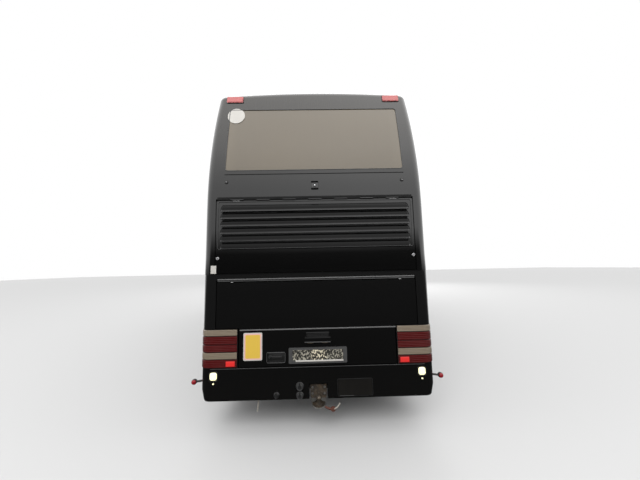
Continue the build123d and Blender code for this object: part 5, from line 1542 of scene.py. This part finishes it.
walls = {side: on_side(side) for side in (-1, 1)}
UPPER_PANES = panes_along(0.46, 11.11, 6, UPPER_LOW, UPPER_HIGH)
PANES = {-1: panes_along(4.76, 9.90, 3) + [DRIVER_PANE] + UPPER_PANES,
         1: panes_along(5.82, 9.93, 3) + UPPER_PANES}
window_lines = [outline_on(side, pane, -GLASS_INSET, -0.001) for side in PANES for pane in PANES[side]]
beads("side_window_rubbers", window_lines, 0.006, soft_rubber)
for door, s in DOORS.items():
    door_bead(door, "glass", 0.006, outline_on(1, (s + 0.10, s + 0.80, 0.76, 2.04), -GLASS_INSET, -0.001))
    door_bead(door, "edge", 0.005, outline_on(1, (s + 0.014, s + 0.886, 0.334, 2.178), 0.0, -0.002, 0.012))

# %% [markdown]
# Thin lines run the length of the coach: a moulding over the joint between the decks, a gutter at the
# roof's edge, and a sill rail under the lower windows. They are sections swept along the walls.

# %% Long mouldings
SILL_GAPS = {-1: ((0.32, 11.2),), 1: ((0.32, 4.79), (5.71, 10.05), (10.97, 11.2))}
# half height and share of the full depth, from one root in the wall to the other
MOULDING = ((-1, 0), (-1, 0.45), (-0.6, 1), (0.6, 1), (1, 0.45), (1, 0))
MOULDING_STEP, MOULDING_ROOT = 0.8, -0.002

for name, side in SIDES:
    form = Form(f"{name}_mouldings", black_plastic, dull_trim)
    for z, ranges, half, proud in (
        (2.205, ((0.32, 11.25),), 0.014, 0.007), (3.752, ((0.30, 11.15),), 0.009, 0.010),
        (1.185, SILL_GAPS[side], 0.008, 0.005),
    ):
        section = [(z + up * half, share * proud if share else MOULDING_ROOT) for up, share in MOULDING]
        for low, high in ranges:
            steps = max(2, int((high - low) / MOULDING_STEP))
            places = [low + (high - low) * n / steps for n in range(steps + 1)]
            form.rings([[walls[side](s, up, out) for up, out in section] for s in places])
    form.done()

# %% [markdown]
# The hold is reached through big flaps low on both sides. Each is a thin pressed panel that stands a few
# millimetres proud, with a dark joint round it, two turn locks and a grip lip along its foot.

# %% Luggage flaps
PANEL_PROUD, PANEL_CHAMFER, EDGE_SHARE = 0.004, 0.004, 0.35
FLAP_LOW, FLAP_HIGH, LOCK_HEIGHT, LIP_HEIGHT = 0.35, 1.155, 0.56, 0.372
FLAPS = {-1: ((4.50, 5.84), (5.90, 7.24), (7.30, 8.62)), 1: ((5.80, 7.18), (7.24, 8.62))}
LIP = ((-0.001, -0.004), (0.007, -0.004), (0.009, 0.0), (0.007, 0.004), (-0.001, 0.004))


def side_panel(form, side, pane):
    """A raised panel with chamfered edges and a dark joint, on the wall and its tuck."""
    s_low, s_high, z_low, z_high = pane
    bends = [z for z in (TUCK_TOP, SHOULDER_Z) if z_low + 0.01 < z < z_high - 0.01]
    rings = []
    for z in (z_low, z_low + PANEL_CHAMFER, *bends, z_high - PANEL_CHAMFER, z_high):
        out = PANEL_PROUD * (EDGE_SHARE if z in (z_low, z_high) else 1)
        section = ((s_low, -0.001), (s_low, EDGE_SHARE * out), (s_low + PANEL_CHAMFER, out),
                   (s_high - PANEL_CHAMFER, out), (s_high, EDGE_SHARE * out), (s_high, -0.001))
        rings.append([walls[side](s, z, depth) for s, depth in section])
    form.rings(rings)
    form.tube(outline_on(side, pane, 0.004, 0.0006, 0.006, 0.4), 0.0024, 1, 6, closed=True)


def turn_lock(growth):
    """A round lock with a raised rim and a bar to turn, its axis along z."""
    rim = growth.rod(24, growth.size("Lock Radius", 0.021), 0.005, 0.0015)
    bar = growth.moved(growth.node("MeshCube", Size=(0.026, 0.006, 0.006)), Translation=(0.0, 0.0, 0.0055))
    return growth.node("JoinGeometry", Geometry=[rim, bar])


for name, side in SIDES:
    form = Form(f"{name}_luggage_flaps", body_paint, joint_black, black_plastic)
    for s_low, s_high in FLAPS[side]:
        side_panel(form, side, (s_low, s_high, FLAP_LOW, FLAP_HIGH))
        stops = [s_low + 0.05 + n * (s_high - s_low - 0.1) / 4 for n in range(5)]
        form.swept([walls[side](s, LIP_HEIGHT, PANEL_PROUD) for s in stops], LIP, 2, outward=(side, 0, 0))
    form.done(BODY, "body_black")
for name, side in SIDES:
    places = [walls[side](s, LOCK_HEIGHT, PANEL_PROUD) for low, high in FLAPS[side]
              for s in (low + 0.16, high - 0.16)]
    growth = Growth(f"{name}_flap_locks", places)
    lock = growth.moved(turn_lock(growth), Rotation=(0.0, side * math.pi / 2, 0.0))
    growth.grown(growth.copies(lock), dull_trim, BODY, "bare_steel")

# %% [markdown]
# A rubber lip goes round each wheel arch and a mudflap hangs behind each axle. The amber lamps along the
# skirt are copies of one small lens.

# %% Arches, mudflaps and side markers
ARCH_RADIUS, ARCH_STEPS, LIP_SINK = 0.600, 40, 0.004
# s, inner x, outer x
MUDFLAPS = ((1.80, 0.86, 1.20), (4.46, 0.66, 1.20), (8.64, 0.86, 1.20))
MUDFLAP_CURVE = ((0.18, 0.035), (0.26, 0.022), (0.36, 0.010), (0.48, 0.002), (0.58, 0.0))
SIDE_MARKERS = {-1: (1.05, 3.13, 5.87, 7.27, 11.16), 1: (1.05, 3.13, 5.76, 7.21, 9.98)}
SIDE_MARKER_Z = 1.21

arch_start = math.asin((TYRE_RADIUS - SKIRT_Z) / ARCH_RADIUS)
arches = []
for s in AXLES.values():
    for side in (-1, 1):
        line = []
        for n in range(ARCH_STEPS + 1):
            a = -arch_start + (math.pi + 2 * arch_start) * n / ARCH_STEPS
            z = TYRE_RADIUS + (ARCH_RADIUS - LIP_SINK) * math.sin(a)
            line.append((side * side_x(z, 0.001), y_at(s) + (ARCH_RADIUS - LIP_SINK) * math.cos(a), z))
        arches.append(line)
beads("wheel_arch_lips", arches, 0.011, soft_rubber, closed=False)

flaps = Form("mudflaps", soft_rubber, stud_steel)
for s, inner, outer in MUDFLAPS:
    for side in (-1, 1):
        low, high = mirrored_range(side, inner, outer)
        rings = []
        for z, back in MUDFLAP_CURVE:
            y = y_at(s) - back
            ribs = [(low + (high - low) * n / 12, y - 0.004 - 0.0035 * (n % 2), z) for n in range(13)]
            rings.append([*ribs, (high, y + 0.004, z), (low, y + 0.004, z)])
        flaps.rings(rings)
        flaps.box((low, y_at(s) - 0.012, 0.560), (high, y_at(s) + 0.010, 0.600), 1, 0.003)
flaps.done(BODY, "tyre_rubber")

for name, side in SIDES:
    places = [(side * side_x(SIDE_MARKER_Z, 0.003), y_at(s), SIDE_MARKER_Z) for s in SIDE_MARKERS[side]]
    growth = Growth(f"{name}_side_markers", places)
    foot = growth.node("MeshCube", Size=(0.010, 0.115, 0.044))
    face = growth.node("MeshCube", Size=(0.018, 0.096, 0.028))
    lamp = growth.node("JoinGeometry", Geometry=[foot, face])
    growth.grown(growth.copies(lamp), amber_lens, BODY, "lamp_red")

# %% [markdown]
# Engine side flaps breathe through slats. A slat is a thin tilted blade, and Geometry Nodes copy one blade
# up the panel.

# %% Side flap slats
SLATS, SLAT_PITCH, SLAT_LOW, SLAT_TILT = 9, 0.036, 1.115, 0.42
SLAT_TOP = SLAT_LOW + (SLATS - 1) * SLAT_PITCH
FLAP_LOCK = ((-0.001, 0), (-0.001, 0.021), (0.004, 0.020), (0.005, 0.014), (0.005, 0))

for name, side in SIDES:
    places = [(side * side_x(1.2, 0.004), y_at(1.11), SLAT_LOW + n * SLAT_PITCH) for n in range(SLATS)]
    growth = Growth(f"{name}_flap_slats", places)
    blade = growth.node("MeshCube", Size=growth.size("Slat Size", (0.003, 0.92, 0.026)))
    blade = growth.moved(blade, Rotation=growth.size("Slat Turn", (0.0, side * SLAT_TILT, 0.0)))
    growth.grown(growth.copies(blade), black_plastic, f"{name}_flap_body")
    form = Form(f"{name}_flap_trim", black_plastic, dull_trim)
    pane = (0.645, 1.575, SLAT_LOW - 0.026, SLAT_TOP + 0.026)
    form.tube(outline_on(side, pane, 0.0, 0.003, 0.012, 0.5), 0.007, 0, 8, closed=True)
    for s in (0.72, 1.50):
        x, y, z = spot = walls[side](s, LOCK_HEIGHT, 0.0)
        form.turned(FLAP_LOCK, spot, (side, 0, 0), 1, 24)
        form.box((x - 0.008, y - 0.013, z - 0.003), (x + 0.008, y + 0.013, z + 0.003), 1, 0.001)
    form.done(f"{name}_flap_body")

# %% [markdown]
# A flush handle opens each door from outside, a small flap ahead of the left front wheel covers the fuel
# filler, and an upright bar parts the driver's sliding window.

# %% Handles and filler flap
DOOR_LOCK = ((0.0, 0), (0.0, 0.009), (0.011, 0.008), (0.012, 0))
FILLER, FILLER_LOCK = (10.26, 10.62, 0.60, 0.96), ((-0.001, 0), (-0.001, 0.018), (0.004, 0.017), (0.005, 0))
for door, s in DOORS.items():
    handle = Form(f"{door}_handle", black_plastic, dull_trim)
    rim = [walls[1](a, b, 0.001) for a, b in rounded(s + 0.030, s + 0.078, 1.02, 1.16, 0.012)]
    handle.tube(rim, 0.003, 0, 8, closed=True)
    x_low, x_high = side_x(1.0, 0.001), side_x(1.0, 0.009)
    handle.box((x_low, y_at(s + 0.070), 1.035), (x_high, y_at(s + 0.038), 1.145), 0, 0.004)
    handle.turned(DOOR_LOCK, walls[1](s + 0.054, 1.06, 0.001), (1, 0, 0), 1, 20)
    handle.done(f"{door}_leaf")

filler = Form("filler_flap", body_paint, joint_black, dull_trim)
side_panel(filler, -1, FILLER)
filler.turned(FILLER_LOCK, walls[-1](10.32, 0.78, PANEL_PROUD), (-1, 0, 0), 2, 24)
filler.done(BODY, "body_black")

bar = Form("driver_window_bar", soft_rubber)
bar.tube([walls[-1](10.52, 1.10 + 0.15 * n, 0.001) for n in range(7)], 0.007, 0, 8)
bar.done()
print("sides done")

# %% [markdown]
# The nose bows sideways and leans back as it rises, so every part on it goes through one function that gives
# a point of the bowed face. The headlamps are open boxes: a dark tray, two polished bowls with their bulbs,
# an amber lamp at the outer end, and a clear cover flush with the nose.

# %% Headlamps and fog lamps
BOW_CENTRE = LENGTH - NOSE_BOW_RADIUS
BOWL = ((-0.048, 0.0), (-0.048, 0.020), (-0.034, 0.050), (-0.010, 0.074), (-0.010, 0.079), (-0.038, 0.053),
        (-0.052, 0.020), (-0.052, 0.0))
BULB = ((-0.050, 0.0), (-0.050, 0.009), (-0.030, 0.009), (-0.022, 0.006), (-0.020, 0.0))
LAMP_LOW, LAMP_TOP, BULB_Z = 0.641, 0.849, 0.745
# the tray's walls and the divider, as x and z
TRAY = (
    ((0.692, 0.704), (LAMP_LOW, LAMP_TOP)), ((1.176, 1.186), (LAMP_LOW, LAMP_TOP)),
    ((0.704, 1.176), (LAMP_LOW, 0.651)), ((0.704, 1.176), (0.839, LAMP_TOP)),
    ((1.098, 1.106), (0.651, 0.839)),
)


def on_nose(x, z, depth):
    """A point of the nose: depth is measured outwards."""
    lean = LENGTH + depth
    if z > NOSE_LEAN_Z:
        rise = z - NOSE_LEAN_Z
        lean = LENGTH - NOSE_LEAN_RADIUS + math.sqrt((NOSE_LEAN_RADIUS + depth) ** 2 - rise**2)
    return x, y_at(BOW_CENTRE) + math.sqrt((lean - BOW_CENTRE) ** 2 - x**2), z


def nose_slab(form, x_range, z_range, depths, material=0, steps=8):
    """A plate that follows the nose, between two depths."""
    (x0, x1), (z0, z1), (low, high) = sorted(x_range), z_range, depths
    rows = max(1, round((z1 - z0) / 0.15))
    levels = [z0 + (z1 - z0) * n / rows for n in range(rows + 1)]
    rings = []
    for n in range(steps + 1):
        x = x0 + (x1 - x0) * n / steps
        rings.append([on_nose(x, z, low) for z in levels] + [on_nose(x, z, high) for z in levels[::-1]])
    form.rings(rings, material)


def nose_plates(form, *plates, steps):
    """Plates centred on the nose, each from its half width, its heights, its depths and a material."""
    for half, z_range, depths, material in plates:
        nose_slab(form, (-half, half), z_range, depths, material, steps)


s = Shader("lamp_cover")
tint = s.mix(s.noise(4, 3) * 0.3, (0.75, 0.78, 0.8), (0.5, 0.5, 0.48))
lamp_cover = s.surface(base_color=tint, alpha=0.16, roughness=0.05, coat_weight=1.0, coat_roughness=0.02)

for name, side in SIDES:
    lamp = Form(f"{name}_headlamp", gloss_black, bright_trim, lit_white, amber_lens, lamp_cover,
                black_plastic)
    for x_range, z_range, depths, material, steps in (
        ((0.692, 1.186), (LAMP_LOW, LAMP_TOP), (-0.060, -0.055), 0, 8),
        *((x_range, z_range, (-0.055, -0.005), 5, 4) for x_range, z_range in TRAY),
        ((1.108, 1.174), (0.655, 0.835), (-0.040, -0.010), 3, 3),
        ((0.694, 1.184), (0.643, 0.847), (-0.0045, -0.001), 4, 8),
    ):
        nose_slab(lamp, mirrored_range(side, *x_range), z_range, depths, material, steps)
    for x in (0.795, 0.992):
        centre = on_nose(side * x, BULB_Z, 0.0)
        lamp.turned(BOWL, centre, (0, 1, 0), 1, 36)
        lamp.turned(BULB, centre, (0, 1, 0), 1, 16)
    lamp.done(BODY, "lamp_clear", ["front_lamps"])

    fog = Form(f"{name}_fog_lamp", black_plastic, clear_lens, bright_trim)
    nose_slab(fog, mirrored_range(side, 0.701, 0.879), (0.421, 0.499), (-0.060, -0.012), 0)
    nose_slab(fog, mirrored_range(side, 0.708, 0.872), (0.428, 0.492), (-0.014, -0.004), 1)
    fog.done(BODY, "lamp_clear", ["front_lamps"])
print("front lamps done")

# %% [markdown]
# Between the lamps are cooling slats, the blank plate and a service panel. A dark glass box for the
# destination sits over the lower screen. The screens' rubbers are beads along their outlines.

# %% Nose trim
SLAT_LINE = [on_nose(-0.53 + 0.106 * n, 0.69, 0.014) for n in range(11)]
PANEL_LOCK = ((-0.001, 0), (-0.001, 0.014), (0.004, 0.013), (0.005, 0))
SCREENS = {"lower": (1.08, 2.15), "upper": (2.44, 3.64)}
MIRROR_X, MIRROR_S, MIRROR_HALF, MIRROR_PANES = 1.33, 12.060, 0.088, ((1.63, 1.92), (1.935, 2.03))

plate_white = finish("plate_white", (0.6, 0.59, 0.55), 0.4, 0.06, 60, 0.03, coat=0.2)
panel = Form("nose_panel", body_paint, joint_black, black_plastic, trim_grey)
nose_plates(panel, (0.655, (0.612, 1.030), (-0.002, 0.004), 1), (0.648, (0.619, 1.023), (0.002, 0.008), 0),
            (0.540, (0.668, 0.886), (0.006, 0.0095), 1), steps=12)
for x in (-0.60, 0.60):
    panel.turned(PANEL_LOCK, on_nose(x, 0.96, 0.008), (0, 1, 0), 3, 20)
panel.done(BODY, "body_black")
bar_rows("nose_slats", SLAT_LINE, 6, (0.0, 0.0, 0.035), 0.010, 0.017, black_plastic)

plate = Form("front_plate", black_plastic, plate_white)
nose_plates(plate, (0.275, (0.395, 0.520), (-0.002, 0.008), 0), (0.262, (0.405, 0.510), (0.006, 0.010), 1),
            steps=6)
plate.done()

sign = Form("destination_box", black_plastic, gloss_black)
nose_plates(sign, (0.780, (2.200, 2.390), (-0.002, 0.006), 0), (0.765, (2.214, 2.376), (0.004, 0.008), 1),
            steps=12)
sign.done()

for name, z_range in SCREENS.items():
    outline = grid_outline(rounded(-1.105, 1.105, *z_range, 0.11), 0.12)
    beads(f"{name}_screen_rubber", [[on_nose(x, z, -0.001) for x, z in outline]], 0.009, soft_rubber)

lamps = Form("front_marker_lamps", black_plastic, clear_lens)
for side in (-1, 1):
    for z in (3.70, 0.56):
        nose_slab(lamps, mirrored_range(side, 0.99, 1.08), (z, z + 0.032), (-0.002, 0.005), 0, 3)
        nose_slab(lamps, mirrored_range(side, 0.996, 1.074), (z + 0.005, z + 0.027), (0.003, 0.010), 1, 3)
lamps.done(BODY, "lamp_clear")

mirrors = Form("mirror_glasses", mirror_glass, soft_rubber)
for middle in (-MIRROR_X, MIRROR_X):
    for grow, low, high, material in ((0.006, -0.003, 0.001, 1), (0.0, 0.0, 0.002, 0)):
        for z0, z1 in MIRROR_PANES:
            half = MIRROR_HALF + grow
            outline = rounded(middle - half, middle + half, z0 - grow, z1 + grow, 0.02)
            mirrors.slab(outline, lambda x, z, d: (x, y_at(MIRROR_S) - d, z), low, high, material)
mirrors.done(BODY, "window_glass")
print("nose done")

# %% [markdown]
# On the roof, seams run the coach's length and each hatch has pressed ribs and a seal. Inside, parcel racks
# with a rail hang over the seats, and light strips run under the ceiling. Under the tail, a shaft turns the
# drive axle and air chambers work its brakes.

# %% Roof, racks and running gear
CROWN_RADIUS, ROOF_TOP = 12.8, 3.941
SEAM_STOPS, HATCHES = (0.34, 2.0, 4.0, 6.0, 8.0, 10.0, 11.2), (3.0, 8.8)
# x, height and length of the racks on the upper and the lower deck
RACKS = ((0.98, 3.50, (0.55, 11.0)), (1.02, 2.045, (5.0, 9.8)))
RACK_SECTION = ((-0.22, -0.004), (0.10, -0.012), (0.10, 0.004), (-0.22, 0.012))
LIGHT_SECTION = ((-0.05, -0.008), (0.05, -0.008), (0.05, 0.006), (-0.05, 0.006))
SHAFT = ((0, 0), (0, 0.055), (0.05, 0.055), (0.07, 0.04), (1.00, 0.04), (1.02, 0.055), (1.07, 0.055),
         (1.07, 0))
CHAMBER = ((0, 0), (0, 0.05), (0.02, 0.078), (0.07, 0.078), (0.075, 0.084), (0.085, 0.084), (0.09, 0.078),
           (0.14, 0.07), (0.16, 0.04), (0.16, 0))
HOSE = ((0.46, 0.38, 0.56), (0.44, 0.44, 0.60), (0.40, 0.46, 0.68))


def on_roof(x, s, up=0.0):
    return x, y_at(s), ROOF_TOP - CROWN_RADIUS + math.sqrt((CROWN_RADIUS + up) ** 2 - x**2)


seams = [[on_roof(x, s, 0.001) for s in SEAM_STOPS] for x in (-0.56, 0.56)]
beads("roof_seams", seams, 0.006, soft_rubber, closed=False)
ribs = Form("hatch_ribs", black_plastic, soft_rubber)
for s in HATCHES:
    for n in range(5):
        x = -0.24 + 0.12 * n
        low, high = on_roof(x - 0.018, s - 0.25, 0.028), on_roof(x + 0.018, s + 0.25, 0.036)
        ribs.box((low[0], low[1], min(low[2], high[2]) - 0.006), high, 0, 0.004)
    seal = [on_roof(a, s + b, 0.003) for a, b in rounded(-0.385, 0.385, -0.325, 0.325, 0.03)]
    ribs.tube(seal, 0.009, 1, 8, closed=True)
ribs.done()

rack_felt = finish("rack_felt", grey(0.12), 0.85, 0.15, 420, 0.3)
racks = Form("parcel_racks", rack_felt, dull_trim, wall_trim)
for side in (-1, 1):
    for x, z, (first, last) in RACKS:
        path = [(side * x, y_at(first + (last - first) * n / 8), z) for n in range(9)]
        racks.swept(path, RACK_SECTION, 0, outward=(side, 0, 0))
        racks.tube([(x - side * 0.225, y, z + 0.03) for x, y, z in path], 0.011, 1, 8)
    light = [(side * 0.42, y_at(0.8 + 1.2 * n), 3.845) for n in range(9)]
    racks.swept(light, LIGHT_SECTION, 2, outward=(side, 0, 0))
racks.done(BODY, "panel_grey")

gear = Form("running_gear", chassis_paint, cast_metal, soft_rubber)
gear.turned(SHAFT, (0.0, y_at(2.52), 0.50), (0, 1, 0), 0, 24)
for s in (AXLES["tag"], AXLES["drive"]):
    for side in (-1, 1):
        gear.turned(CHAMBER, (side * 0.46, y_at(s + 0.22), 0.56), (0, 1, 0), 1, 24)
        gear.tube([(side * x, y_at(s + ahead), z) for x, ahead, z in HOSE], 0.011, 2, 8)
gear.done(BODY, "bare_steel")
print("roof, racks and running gear done")
